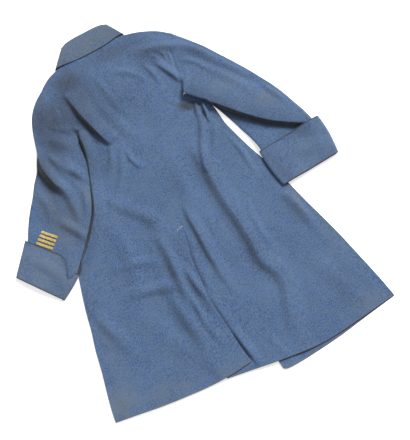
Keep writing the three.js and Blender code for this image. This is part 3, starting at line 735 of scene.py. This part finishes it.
def back_under(x, y):
    """Underside of the back over the fronts, before its folds."""
    collar = slope(COLLAR_UNDER_BACK_X, np.abs(x)) * slope(COLLAR_UNDER_BACK_Y, y)
    lap_left = slope(LAP_LEFT_X, x, leading_edge(front_right, y))
    lap_right = slope(LAP_RIGHT_X, x, leading_edge(front_left, y))
    lap = lap_left * lap_right * slope(LAP_TOP, y)
    inward = ramp(0, CROWN_REACH, inside_side(x, y)) * ramp(0, CROWN_REACH, below_shoulder(x, y))
    crown = inward * (CROWN_AT_NECK + (CROWN - CROWN_AT_NECK) * slope(CROWN_SLOPE_Y, y))
    return LAYER * (1 + collar) + (LAYER + PLY_SLACK) * lap + crown


def back_relief(x, y):
    calm = ramp(0, FOLD_EDGE_REACH, inside_side(x, y)) * ramp(0, FOLD_EDGE_REACH, below_shoulder(x, y))
    calm = calm * clear_of_sleeve(x, y)
    lift, push_x, push_y, crease_shade = relief(back_folds, x, y)
    lift = (lift + unevenness(x, y, 0.5)) * calm
    bulge, bulge_x, bulge_y, gap_shade = relief(sleeve_gap, x, y)
    held = ramp(0, BESIDE_GAP, inside_side(x, y))
    push_x, push_y = push_x * calm + bulge_x * held, push_y * calm + bulge_y * held
    return lift + bulge * held, push_x, push_y, np.maximum(crease_shade * calm, gap_shade)


def seam_dip(distance):
    return -SEAM_DIP * ramp(SEAM_WIDTH, 0, distance)


def named_rows(columns, *rows):
    return [dict(zip(columns.split(), row)) for row in rows]


# A patch is full at its middle and gone beyond its reach; a crease adds painted shade as well
PATCH = "x y reach_x reach_y strength"
PATCH_EDGE = (1.4, 0.1)
PATCH_MOST = 0.8
CREASE_SHADE = 1.15
SHADE_AND_DIRT_MOST = 0.95
faded_patches = named_rows(
    PATCH,
    (-299, -501, 50, 60, 0.45),
    (-316, -395, 44, 80, 0.34),
    (-205, -425, 16, 60, 0.40),
    (-262, -470, 24, 60, 0.30),
    (412, -385, 40, 34, 0.45),
    (330, -290, 60, 30, 0.30),
    (-381, -1024, 70, 60, 0.60),
    (-242, -1057, 80, 40, 0.40),
    (-63, -1076, 60, 30, 0.30),
    (390, -1078, 70, 36, 0.35),
    (396, -829, 34, 100, 0.35),
    (346, -690, 30, 90, 0.40),
    (-330, -620, 26, 60, 0.30),
    (-340, -880, 30, 120, 0.25),
)
# Dark patches, partly dirt and partly painted shade: the two by the right armpit paint the shadow under the
# sleeve's rolled fold, and those round the left shoulder paint its darker shading as well as dirt
dirt_and_shade_patches = named_rows(
    PATCH,
    (-183, -165, 90, 90, 0.50),
    (-232, -160, 60, 110, 0.23),
    (-285, -270, 50, 80, 0.28),
    (-90, -105, 56, 60, 0.34),
    (-161, -250, 44, 40, 0.22),
    (-40, -190, 80, 90, 0.26),
    (-105, -50, 66, 44, 0.36),
    (-240, -278, 60, 50, 0.20),
    (-148, -347, 50, 80, 0.20),
    (-290, -350, 40, 60, 0.22),
    (-306, -480, 60, 90, 0.20),
    (-240, -440, 36, 80, 0.16),
    (-330, -420, 40, 60, 0.10),
    (70, -30, 110, 34, 0.36),
    (158, -88, 70, 40, 0.32),
    (278, -132, 60, 30, 0.18),
    (185, -290, 30, 22, 0.80),
    (206, -302, 24, 16, 0.60),
    (-372, -497, 24, 24, 0.50),
    (362, -982, 40, 60, 0.12),
)


def patches(table, x, y):
    total = np.zeros_like(x)
    for patch in table:
        away = np.hypot((x - patch["x"]) / patch["reach_x"], (y - patch["y"]) / patch["reach_y"])
        total += patch["strength"] * slope(PATCH_EDGE, away)
    return np.clip(total, 0, PATCH_MOST)


def laid_marks(points, crease_shade, worn):
    x, y = points[..., 0], points[..., 1]
    # Dark patches, together with the painted shade of the creases
    dirt_and_painted_shade = np.clip(patches(dirt_and_shade_patches, x, y) + CREASE_SHADE * crease_shade, 0, SHADE_AND_DIRT_MOST)
    return {"worn": worn, "faded": patches(faded_patches, x, y), "dirt_and_painted_shade": dirt_and_painted_shade}


def vent_edge(y):
    return read(back_left, "in_y", "in_x", y)


back_wool = milled_wool("wool_back")
for name, side, sections, neck, hem, flat, area in (
    ("back_right", 1, back_right, neck_back_right, hem_back_right, (0.57, 1.16), 0.405),
    ("back_left", -1, back_left, neck_back_left, hem_back_left, (0.42, 1.12), 0.31),
):
    x, y = panel(sections, neck, hem, NECK_ROWS_BACK, flat[1] / MM, flat[0] / MM)
    lift, push_x, push_y, crease_shade = back_relief(x, y)
    if side > 0:
        hidden = slope(VENT_HIDDEN_X, x, vent_edge(y)) * slope(VENT_HIDDEN_Y, y, VENT_TOP)
        lift = lift * (1 - UNDERLAP_FLATTER * hidden)
        rise, rise_x, rise_y, gap_shade = relief(vent_gap, x, y)
        crease_shade = np.maximum(crease_shade, gap_shade)
        lift = lift + rise
        push_x, push_y = push_x * (1 - hidden) + rise_x, push_y * (1 - hidden) + rise_y
        above = 0 * x
    else:
        above = (LAYER + PLY_SLACK) * slope(VENT_OVER_X, x, vent_edge(y) - UNDERLAP)
        above = above * slope(VENT_OVER_Y, y, VENT_TOP)
    seam = seam_dip(np.abs(x) + VENT_SEAM_WIDENS * np.maximum(VENT_TOP - y, 0))
    z = back_under(x, y) + lift + above + seam + WALL
    points = np.stack([x + push_x, y + push_y, z], -1)
    worn = HEM_WORN * worn_line(points, ("hem",), HEM_WORN_WIDTH)
    back = cloth(name + "_cloth", points, marks=laid_marks(points, crease_shade, worn))
    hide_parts(name)
    finish(back, back_wool)

# Sleeves
# Two wool tubes set into the armholes and flattened as the coat lies. The right one is spread and
# has a deep fold rolled over along it. The left one lies over the side of the back, folded at the elbow.

SLEEVE_THICK = 8.8
SLEEVE_LEAST = 6.4
SLEEVE_EDGE = 9.0
BODY_EDGE_TOP = 6.3
BODY_CROWN_TOP = 2.3
EDGE_DRAPE = 90
EDGE_CLEAR = 18
JOIN_LENGTH = 1.6
CUFF_START = 12
CUFF_SLACK = 0.5
UNDER_CUFF_ROWS = (-2, -0.5)
RIGHT_REST_Y = (-430, -500)
LEFT_REST_Y = (-226, -258)
TURN_ANGLES = np.linspace(75, -75, 9)
RISE_ROWS = 0.3
EDGE_THINNER = 3.0
EDGE_REACH = 46
CUFF_THINNER = 5.0
CUFF_REACH = 80
CUFF_ROWS = (11, 14)
CUFF_HIDES = (13.2, 12.3)
SLEEVE_LONG = 640
SLEEVE_WAVES = 0.8
# Folds push the top of the tube sideways, less and less round its turned edges
TOP_HELD = (-0.4, 1)

sleeve_folds = {
    1: [
        fold(110, 20, 12, (197, -256, 12), (218, -271, 16), (241, -289, 17), (268, -317, 17), (298, -351, 17),
             (328, -385, 17), (364, -419, 17), (400, -450, 17), (446, -481, 16), (488, -505, 14)),
        fold(24, 24, 0, (262, -96, 2), (302, -141, 5), (335, -188, 4), (371, -240, 4), (413, -295, 2)),
        fold(20, 9, 2, (236, -196, 2), (218, -222, 6), (202, -244, 6)),
        fold(26, 26, 0, (262, -190, 1), (300, -214, 3), (340, -262, 4), (380, -320, 3), (404, -366, 1)),
        fold(18, 14, 0, (240, -150, 1), (262, -162, 3), (286, -190, 3), (306, -224, 1)),
        fold(20, 16, 0, (430, -330, 1), (442, -362, 4), (462, -400, 4), (470, -436, 1)),
    ],
    -1: [
        fold(26, 24, 4, (-284, -236, 5), (-289, -262, 11), (-288, -297, 13), (-282, -328, 12),
             (-276, -352, 11), (-267, -369, 9), (-259, -392, 7), (-258, -420, 6), (-257, -445, 6),
             (-259, -475, 4), (-262, -503, 3), (-268, -538, 2)),
        fold(90, 28, 2, (-286, -230, 3), (-290, -292, 6), (-276, -346, 5), (-262, -384, 2)),
        fold(34, 34, 0, (-262, -196, 1), (-232, -213, 5), (-206, -240, 5), (-190, -270, 2)),
        fold(20, 16, 0, (-268, -250, 1), (-252, -280, 5), (-241, -314, 4), (-234, -348, 1)),
        fold(26, 20, 1, (-226, -284, 2), (-224, -320, 6), (-209, -346, 7), (-193, -375, 3)),
        fold(20, 16, 0, (-176, -116, 1), (-184, -144, 3), (-196, -168, 3), (-214, -188, 1)),
        fold(26, 20, 0, (-320, -455, 1), (-299, -488, 5), (-280, -518, 6), (-265, -546, 3)),
        fold(20, 18, 0, (-190, -76, 2), (-212, -104, 5), (-232, -134, 4), (-246, -168, 2)),
        fold(18, 16, 0, (-222, -156, 1), (-214, -178, 2), (-192, -196, 2), (-172, -206, 1)),
        fold(18, 14, 0, (-206, -392, 1), (-218, -430, 4), (-232, -470, 4), (-250, -506, 2)),
        fold(24, 20, 0, (-344, -350, 1), (-330, -392, 4), (-334, -432, 3), (-350, -466, 1)),
    ],
}


def ground(side, x, y):
    """What lies under a sleeve or cuff: the body's side, or the table beyond it."""
    beyond = side * (x - side_seam(back_right if side > 0 else back_left, y))
    rise = BODY_EDGE_TOP * ramp(EDGE_DRAPE, EDGE_CLEAR, beyond)
    rise = rise + BODY_CROWN_TOP * ramp(0, -CROWN_REACH, beyond)
    return rise * slope(RIGHT_REST_Y if side > 0 else LEFT_REST_Y, y)


def sleeve_under(side, row, x, y):
    return ground(side, x, y) + (LAYER + CUFF_SLACK) * slope(UNDER_CUFF_ROWS, row, CUFF_START)


def sleeve_over(side, row, x, y, lift):
    free = sleeve_under(side, row, x, y) + SLEEVE_THICK + unevenness(x, y, 3.5 * side) * SLEEVE_WAVES
    body = back_relief(x, y)[0]
    joined = np.maximum(back_under(x, y) + body + WALL, SLEEVE_LEAST)
    share = ramp(0, JOIN_LENGTH, row)
    return joined * (1 - share) + free * share + lift * ramp(0, RISE_ROWS, row)


def round_tube(top_count, under_count):
    """Each point round a flattened tube: its share of the flat part, its angle and its end."""
    top = [(share, 90, 1) for share in np.linspace(0, 1, top_count)]
    far = [(1, angle, 1) for angle in TURN_ANGLES]
    under = [(share, -90, 1) for share in np.linspace(1, 0, under_count)]
    near = [(0, angle, -1) for angle in -TURN_ANGLES]
    share, angle, end = np.array(top + far + under + near).T[:, None, :]
    return share, np.radians(angle), end


def tube(side, sections, row, sleeve_row, out, table, around):
    """Points of a flattened tube that stands so far out of the sleeve's own face, and the painted shade of
    its creases.
    """
    share, angle, end = around
    near_x, near_y, far_x, far_y = (at(sections, name, row) for name in SECTION.split())
    width = np.hypot(far_x - near_x, far_y - near_y)
    way_x, way_y = (far_x - near_x) / width, (far_y - near_y) / width
    along = SLEEVE_EDGE + (width - 2 * SLEEVE_EDGE) * share
    x, y = near_x + way_x * along, near_y + way_y * along
    lift, push_x, push_y, crease_shade = relief(table, x, y)
    seen = slope(CUFF_HIDES, sleeve_row) if table is sleeve_folds[side] else 1
    thinner = EDGE_THINNER * ramp(EDGE_REACH, 0, np.minimum(along, width - along)) * ramp(0, 1, sleeve_row)
    thinner += CUFF_THINNER * ramp(CUFF_REACH, 0, width - along) * slope(CUFF_ROWS, sleeve_row)
    high = sleeve_over(side, sleeve_row, x, y, lift * seen) - thinner
    low = sleeve_under(side, sleeve_row, x, y)
    middle, tall = (high + low) / 2, (high - low) / 2 + out
    along = along + end * (SLEEVE_EDGE + out) * np.cos(angle)
    held = ramp(0, RISE_ROWS, sleeve_row) * slope(TOP_HELD, np.sin(angle)) * seen
    x, y = near_x + way_x * along + push_x * held, near_y + way_y * along + push_y * held
    return np.stack([x, y, middle + tall * np.sin(angle)], -1), crease_shade * held


sleeve_wool = milled_wool("wool_sleeve", turn=0.45)
sleeve_round = round_tube(60, 20)
for name, side, sections, flat, area in (
    ("sleeve_left", -1, sleeve_left, (0.39, 0.66), 0.20),
    ("sleeve_right", 1, sleeve_right, (0.41, 0.64), 0.205),
):
    row = last_row(sections) * spaced(SLEEVE_LONG)[:, None] + 0 * sleeve_round[0]
    loop, crease_shade = tube(side, sections, row, row, 0, sleeve_folds[side], sleeve_round)
    sleeve = cloth(name + "_cloth", loop, wrap=True, marks=laid_marks(loop, crease_shade, 0 * row))
    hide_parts(name)
    finish(sleeve, sleeve_wool)

# Cuffs
# Each sleeve's end is turned back outside it as a deep cuff, with a round fold at the wrist. The
# left one's upper edge has a notch, where its seam is open.

CUFF_ROW = 14
CUFF_DEPTH = 150
CUFF_OUT = LAYER + CUFF_SLACK
WRIST_ROUND = 3.0
WRIST_INSIDE = 0.4
WRIST_TIP = 5.0
UNDER_LONGER = 6.0

cuff_right = chart(SECTION, [
    [528, -509, 319, -530],
    [532, -545, 319, -562],
    [533, -578, 322, -595],
    [531, -610, 327, -628],
    [528, -638, 334, -657],
])
cuff_left = chart(SECTION, [
    [-430, -471, -308, -607],
    [-448, -496, -328, -628],
    [-464, -517, -349, -646],
    [-480, -538, -373, -663],
    [-497, -561, -402, -681],
])
cuff_folds = {
    1: [
        fold(110, 60, 0, (425, -470, 13), (478, -500, 14), (504, -540, 9), (508, -600, 3)),
        fold(40, 34, 0, (360, -560, 1), (410, -580, 3), (470, -590, 3), (520, -604, 1)),
    ],
    -1: [
        fold(30, 26, 0, (-440, -520, 1), (-414, -560, 3), (-392, -600, 3), (-384, -640, 1)),
        fold(9, 8, 0, (-352, -566, 2), (-350, -590, 3), (-356, -618, 4)),
    ],
}
# The left cuff's upper edge round its ring: how many rows lower it starts, over shares of its top
NOTCH_SHARES = (0, 0.64, 0.725, 0.785, 0.845, 0.87, 0.93, 0.985, 1.0)
NOTCH_ROWS = (0, 0.05, 0.25, 0.55, 1.06, 1.71, 2.03, 1.68, 1.2)


def wrist_levels(count):
    """Shares of a cuff's depth down to the wrist's fold, then the turn round it and back inside."""
    angle = np.radians(np.arange(75, -91, -15))
    before = np.concatenate([spaced(CUFF_DEPTH)[:-1], np.ones(len(angle) + 1)])
    beyond = np.concatenate([np.zeros(count), np.cos(angle) * WRIST_ROUND, [WRIST_ROUND - WRIST_TIP]])
    out = np.concatenate([np.full(count, CUFF_OUT), WRIST_INSIDE + WRIST_ROUND * np.sin(angle),
                          [WRIST_INSIDE - WRIST_ROUND]])
    return before[:, None], beyond[:, None], out[:, None]


cuff_wool = milled_wool("wool_cuff", pale=CUFF_PALE, turn=0.35)
cuff_round = round_tube(72, 20)
for name, side, sections, flat, area in (
    ("cuff_left", -1, cuff_left, (0.42, 0.13), 0.047),
    ("cuff_right", 1, cuff_right, (0.44, 0.14), 0.060),
):
    share, angle, end = cuff_round
    notch = np.interp(share, NOTCH_SHARES, NOTCH_ROWS) * ramp(-0.9, 0.3, np.sin(angle)) * (side < 0)
    before, beyond, out = wrist_levels(len(spaced(CUFF_DEPTH)) - 1)
    depth = at(sections, "in_x", 4) - at(sections, "in_x", 3)
    depth = np.hypot(depth, at(sections, "in_y", 4) - at(sections, "in_y", 3))
    fold_row = last_row(sections) - WRIST_ROUND / depth
    longer = UNDER_LONGER * ramp(0.4, -0.9, np.sin(angle)) * before
    row = notch + (fold_row - notch) * before + (beyond + longer) / depth
    band, crease_shade = tube(side, sections, row, CUFF_ROW + 0 * row, out, cuff_folds[side], cuff_round)
    worn = 0.5 * (before == 1) * ramp(0.2, 0.8, np.sin(angle)) * (out > 1.5)
    # A thin line of painted shade along the cuff's upper edge, and painted shade on its underside
    dirt_and_painted_shade = 0.9 * ramp(4.5, 1.2, from_edge(band, ("neck",))) + 0.8 * ramp(0.2, -0.6, np.sin(angle))
    marks = {"worn": worn + 0 * row, "faded": (0.34 if side < 0 else 0.1) + 0 * row, "dirt_and_painted_shade": dirt_and_painted_shade}
    cuff = cloth(name + "_cloth", band, wrap=True, marks=marks)
    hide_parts(name)
    finish(cuff, cuff_wool)

# Collar
# A turn-down collar of the same wool: a stand rises from the neck seam, rolls over at the top and
# falls back outside it. It lies flattened, with its right side's edge rolled.

COLLAR_LEAN = 0.075
COLLAR_MID = 6.4
NECK_HALF_GAP = 0.9
FALL_SHIFT = 7
FALL_SHIFT_SIDE = 120
COLLAR_WALL = 2.4
STITCH_FROM_EDGE = 7.0
STITCH_DEPTH = 0.5
COLLAR_BLUE = (0.068, 0.112, 0.200, 1)
COLLAR_PALE = (0.125, 0.175, 0.265, 1)

collar_side = named_rows(
    "neck_x neck_y roll_x roll_y edge_x edge_y turn",
    (14, -86.5, 12, -48, 26, -142, -90),
    (38, -77.5, 34, -38, 60, -124, -90),
    (66, -50.5, 58, -4, 92, -84, -90),
    (83, -14.5, 72, 34, 108, -34, -90),
    (89, 12, 77, 57, 115.5, 3, -90),
    (89.5, 13, 77.5, 59, 116, 5, -45),
    (89.5, 14, 77.5, 60, 116, 6, 0),
    (89.5, 15, 77.5, 61, 116, 7, 45),
    (89, 16, 77, 62, 115.5, 8.5, 90),
    (74, 17.3, 62, 68, 96, 8, 90),
    (38, 18.3, 34, 71, 49, 2, 90),
)
collar_back = {"neck_x": 0, "neck_y": 18.3, "roll_x": 0, "roll_y": 71, "edge_x": 0, "edge_y": 0.5, "turn": 90}


def collar_station(spot, side):
    shift = FALL_SHIFT * min(spot["edge_x"] / FALL_SHIFT_SIDE, 1)
    turn = spot["turn"] if side > 0 else 180 - spot["turn"]
    return [side * spot["neck_x"], spot["neck_y"], side * spot["roll_x"], spot["roll_y"],
            side * spot["edge_x"] - shift, spot["edge_y"], turn]


stations = [collar_station(spot, -1) for spot in collar_side] + [collar_station(collar_back, 1)]
stations += [collar_station(spot, 1) for spot in collar_side[::-1]]
collar_chart = chart("neck_x neck_y roll_x roll_y edge_x edge_y turn", stations, corners=(4, 8, 14, 18))


def collar_face(stand_height, fall_height):
    """One face of the collar round the neck, from its seam over the roll to its outer edge."""
    neck = np.stack([collar_chart["neck_x"], collar_chart["neck_y"]], -1)
    roll = np.stack([collar_chart["roll_x"], collar_chart["roll_y"]], -1)
    edge = np.stack([collar_chart["edge_x"], collar_chart["edge_y"]], -1)
    turn = np.radians(collar_chart["turn"])
    radius, middle = (fall_height - stand_height) / 2, (fall_height + stand_height) / 2
    up = (roll - neck) / np.linalg.norm(roll - neck, axis=1, keepdims=True)
    drop = np.linalg.norm(edge - roll, axis=1)
    spots, heights = [], []
    for share in np.linspace(0, 0.92, 7):
        spots.append(neck + (roll - neck) * share)
        heights.append(np.full(len(turn), stand_height))
    for angle in np.radians(np.arange(0, 181, 20)):
        spots.append(roll + up * radius * math.sin(angle))
        heights.append(np.full(len(turn), middle - radius * math.cos(angle)))
    upper = ramp(0.6, 1, np.sin(turn))
    for share in np.linspace(0.05, 1, 22):
        spot = roll + (edge - roll) * share
        wave_here = 0.8 * wave(spot[:, 0] / 34, spot[:, 1] / 26, 7.7)
        puff = 1.1 * math.sin(math.pi * share ** 0.7) + wave_here * math.sin(math.pi * min(share, 0.5))
        stitch = STITCH_DEPTH * np.exp(-((drop * (1 - share) - STITCH_FROM_EDGE) / 1.3) ** 2)
        spots.append(spot)
        heights.append(fall_height + upper * (puff - stitch))
    spot, height = np.stack(spots), np.stack(heights)
    x = spot[..., 0] + height * np.cos(turn)
    return np.stack([x, spot[..., 1] + COLLAR_LEAN * x, COLLAR_MID + height * np.sin(turn)], -1)


outside = collar_face(NECK_HALF_GAP, 2 * LAYER + NECK_HALF_GAP - SEAM)
inside = collar_face(NECK_HALF_GAP + COLLAR_WALL, 2 * LAYER + NECK_HALF_GAP - SEAM - COLLAR_WALL)
collar_marks = {"worn": 0.35 * worn_line(outside, ("hem",), 4.0), "faded": 0.45 + 0 * outside[..., 0],
                "dirt_and_painted_shade": 0.08 + 0 * outside[..., 0]}
collar = cloth("collar_cloth", outside, inner=inside, marks=collar_marks)
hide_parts("collar")
collar_wool = milled_wool("wool_collar", blue=COLLAR_BLUE, pale=COLLAR_PALE, turn=0.1)
finish(collar, collar_wool)

# Rank braid
# Four short bars of woven gold wire lace, sewn flat across the left sleeve just above its cuff.

BRAID_COUNT = 4
BRAID_LENGTH = 52
BRAID_WIDTH = 6.4
BRAID_THICK = 1.2
BRAID_PITCH = 12.2
BRAID_START = (-377, -466)
BRAID_TURN = math.radians(-46.5)
BRAID_WALL = 1.1
RIB_PITCH = 1.7
RIB_HEIGHT = 0.28
RIB_LEAN = 1.2
SELVEDGE = (0.5, 0.36)
GOLD = (0.52, 0.39, 0.11, 1)
TARNISHED = (0.32, 0.22, 0.06, 1)
BRIGHT_GOLD = (0.78, 0.62, 0.24, 1)
BETWEEN_RIBS = (0.110, 0.075, 0.030, 1)


def row_through(sections, x, y):
    """Row of a sleeve whose section passes through each point."""
    row = np.arange(len(sections["in_x"])) / STEPS
    near_x, near_y, far_x, far_y = (sections[name] for name in SECTION.split())
    above = (far_x - near_x) * (y[..., None] - near_y) - (far_y - near_y) * (x[..., None] - near_x)
    above = above / np.hypot(far_x - near_x, far_y - near_y)
    after = np.argmax(above > 0, axis=-1)
    high = np.take_along_axis(above, after[..., None], -1)[..., 0]
    low = np.take_along_axis(above, after[..., None] - 1, -1)[..., 0]
    return row[after] - high / (high - low) / STEPS


def gold_lace():
    """Tarnished gold wire, ribbed across and darker between the ribs."""
    material, tree, surface, place = new_finish("gold_lace")
    tarnish = grain(tree, place, 160, 3.0)
    wires = grain(tree, place, 1500, 1.0, (1, 0.4, 1), 0.8)
    colour = tint(tree, spread(tree, tarnish, 0.35, 0.68), GOLD, TARNISHED)
    colour = tint(tree, spread(tree, wires, 0.45, 0.7, 0.0, 0.6), colour, BRIGHT_GOLD)
    colour = tint(tree, times(tree, marked(tree, "worn"), 0.45), colour, BETWEEN_RIBS)
    bump = node(tree, "Bump", {"Height": wires, "Strength": 0.5, "Distance": 0.0004})
    feed(tree, surface, {"Base Color": colour, "Metallic": 0.25, "Roughness": 0.42,
                         "Normal": bump.outputs[0]})
    return material


gold = gold_lace()
along = np.linspace(0, BRAID_LENGTH, 125)[None, :]
across_bar = np.linspace(-0.5, 0.5, 11)[:, None]
for number in range(BRAID_COUNT):
    drop = number * BRAID_PITCH + across_bar * BRAID_WIDTH
    x = BRAID_START[0] + math.cos(BRAID_TURN) * along + math.sin(BRAID_TURN) * drop
    y = BRAID_START[1] + math.sin(BRAID_TURN) * along - math.cos(BRAID_TURN) * drop
    lift, push_x, push_y, _ = relief(sleeve_folds[-1], x, y)
    rib_way = along + RIB_LEAN * np.abs(across_bar) * BRAID_WIDTH
    rib = 0.5 + 0.5 * np.cos(2 * math.pi * rib_way / RIB_PITCH)
    selvedge = slope(SELVEDGE, np.abs(across_bar))
    z = sleeve_over(-1, row_through(sleeve_left, x, y), x, y, lift) + SEAM + BRAID_THICK
    z = z - RIB_HEIGHT * rib * selvedge
    points = np.stack([x + push_x, y + push_y, z], -1)
    name = "braid_" + str(number + 1)
    bar = cloth(name + "_lace", points, wall=BRAID_WALL, marks={"worn": rib * selvedge})
    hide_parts(name)
    finish(bar, gold)

# Loose threads
# A worn bar tack of pale thread closes the top of the vent, and a white thread end stands out of
# the right armhole at its foot, rooted in the sleeve.

THREAD = 0.7
LOOSE_THREAD = 0.4
THREAD_DIRT = (0.20, 0.19, 0.17, 1)


def thread_tube(name, spots, radius, colour):
    """A thin thread along points of the chart."""
    curve = bpy.data.curves.new(name, "CURVE")
    curve.dimensions = "3D"
    curve.bevel_depth = radius * MM
    curve.bevel_resolution = 2
    curve.use_fill_caps = True
    line = curve.splines.new("POLY")
    line.points.add(len(spots) - 1)
    for point, (x, y, z) in zip(line.points, spots):
        point.co = ((x + chart_shift[0]) * MM, (y + chart_shift[1]) * MM, z * MM, 1)
    shape = laid(name, curve)
    mesh = bpy.data.meshes.new_from_object(shape.evaluated_get(bpy.context.evaluated_depsgraph_get()))
    bpy.data.objects.remove(shape)
    material, tree, surface, place = new_finish(name)
    strands = grain(tree, place, 1800, 2.0)
    dirty = tint(tree, spread(tree, strands, 0.4, 0.7, 0.0, 0.5), colour, THREAD_DIRT)
    feed(tree, surface, {"Base Color": dirty, "Roughness": 0.8})
    finish(laid(name, mesh), material)


def cloth_height(x, y):
    x, y = np.array([[x]], float), np.array([[y]], float)
    return float((back_under(x, y) + back_relief(x, y)[0])[0, 0]) + WALL


tack = []
for k in range(9):
    x, y = -17 + 2.6 * k, VENT_TOP + 2.5 + (2.6 if k % 2 else -2.6) + 0.7 * k
    tack.append((x, y, cloth_height(x, y) + (LAYER + THREAD if x < 0 else THREAD / 2)))
thread_tube("bar_tack", tack, THREAD, (0.42, 0.42, 0.40, 1))
loose = [
    (198, -258, 19.8), (196.5, -257.5, 21.6), (194.5, -259, 22.4), (192.5, -261.5, 21.2), (191, -263.5, 18.6),
]
thread_tube("loose_thread", loose, LOOSE_THREAD, (0.75, 0.78, 0.82, 1))

# Table, light and camera
# A pale table under soft light from the top right of the picture. The camera looks down, tilted a
# little, and turned against the coat as it was laid.

TILT = math.radians(16)
TURN = math.radians(26.597)
DISTANCE = 2.5496
LENS = 70
AIM = (73, -647)
SUN_SIDE = math.radians(24)
SUN_HEIGHT = math.radians(38)

picture_up = Vector((math.sin(TURN), math.cos(TURN), 0))
picture_right = Vector((math.cos(TURN), -math.sin(TURN), 0))

table_mesh = bpy.data.meshes.new("table")
reach = 6.0
table_mesh.from_pydata([(-reach, -reach, 0), (reach, -reach, 0), (reach, reach, 0), (-reach, reach, 0)], [],
                       [(0, 1, 2, 3)])
table_top = bpy.data.objects.new("table", table_mesh)
bpy.context.collection.objects.link(table_top)
table_paint = bpy.data.materials.new("table_white")
table_paint.use_nodes = True
table_surface = table_paint.node_tree.nodes["Principled BSDF"]
table_surface.inputs["Base Color"].default_value = (0.86, 0.86, 0.85, 1)
table_surface.inputs["Roughness"].default_value = 0.8
table_surface.inputs["Specular IOR Level"].default_value = 0.1
table_surface.inputs["Emission Color"].default_value = (1, 1, 1, 1)
table_surface.inputs["Emission Strength"].default_value = 0.45
table_mesh.materials.append(table_paint)

world = bpy.data.worlds.new("studio")
world.use_nodes = True
world.node_tree.nodes["Background"].inputs["Color"].default_value = (1.0, 0.995, 0.985, 1)
world.node_tree.nodes["Background"].inputs["Strength"].default_value = 0.57
bpy.context.scene.world = world

sun = bpy.data.lights.new("key", "SUN")
sun.energy = 5.45
sun.angle = math.radians(24)
sun.color = (1.0, 0.985, 0.96)
key = bpy.data.objects.new("key", sun)
towards = (picture_up * math.cos(SUN_SIDE) + picture_right * math.sin(SUN_SIDE)) * math.cos(SUN_HEIGHT)
towards = towards + Vector((0, 0, math.sin(SUN_HEIGHT)))
key.rotation_mode = "QUATERNION"
key.rotation_quaternion = towards.to_track_quat("Z", "Y")
bpy.context.collection.objects.link(key)

lens = bpy.data.cameras.new("camera")
lens.lens = LENS
camera = bpy.data.objects.new("camera", lens)
target = Vector(((AIM[0] + chart_shift[0]) * MM, (AIM[1] + chart_shift[1]) * MM, 0))
back_to_camera = Vector((0, 0, math.cos(TILT))) - picture_up * math.sin(TILT)
up = picture_up * math.cos(TILT) + Vector((0, 0, math.sin(TILT)))
turned = Matrix((picture_right, up, back_to_camera)).transposed().to_4x4()
camera.matrix_world = Matrix.Translation(target + back_to_camera * DISTANCE) @ turned
bpy.context.collection.objects.link(camera)
bpy.context.scene.camera = camera
bpy.context.scene.view_settings.view_transform = "Standard"
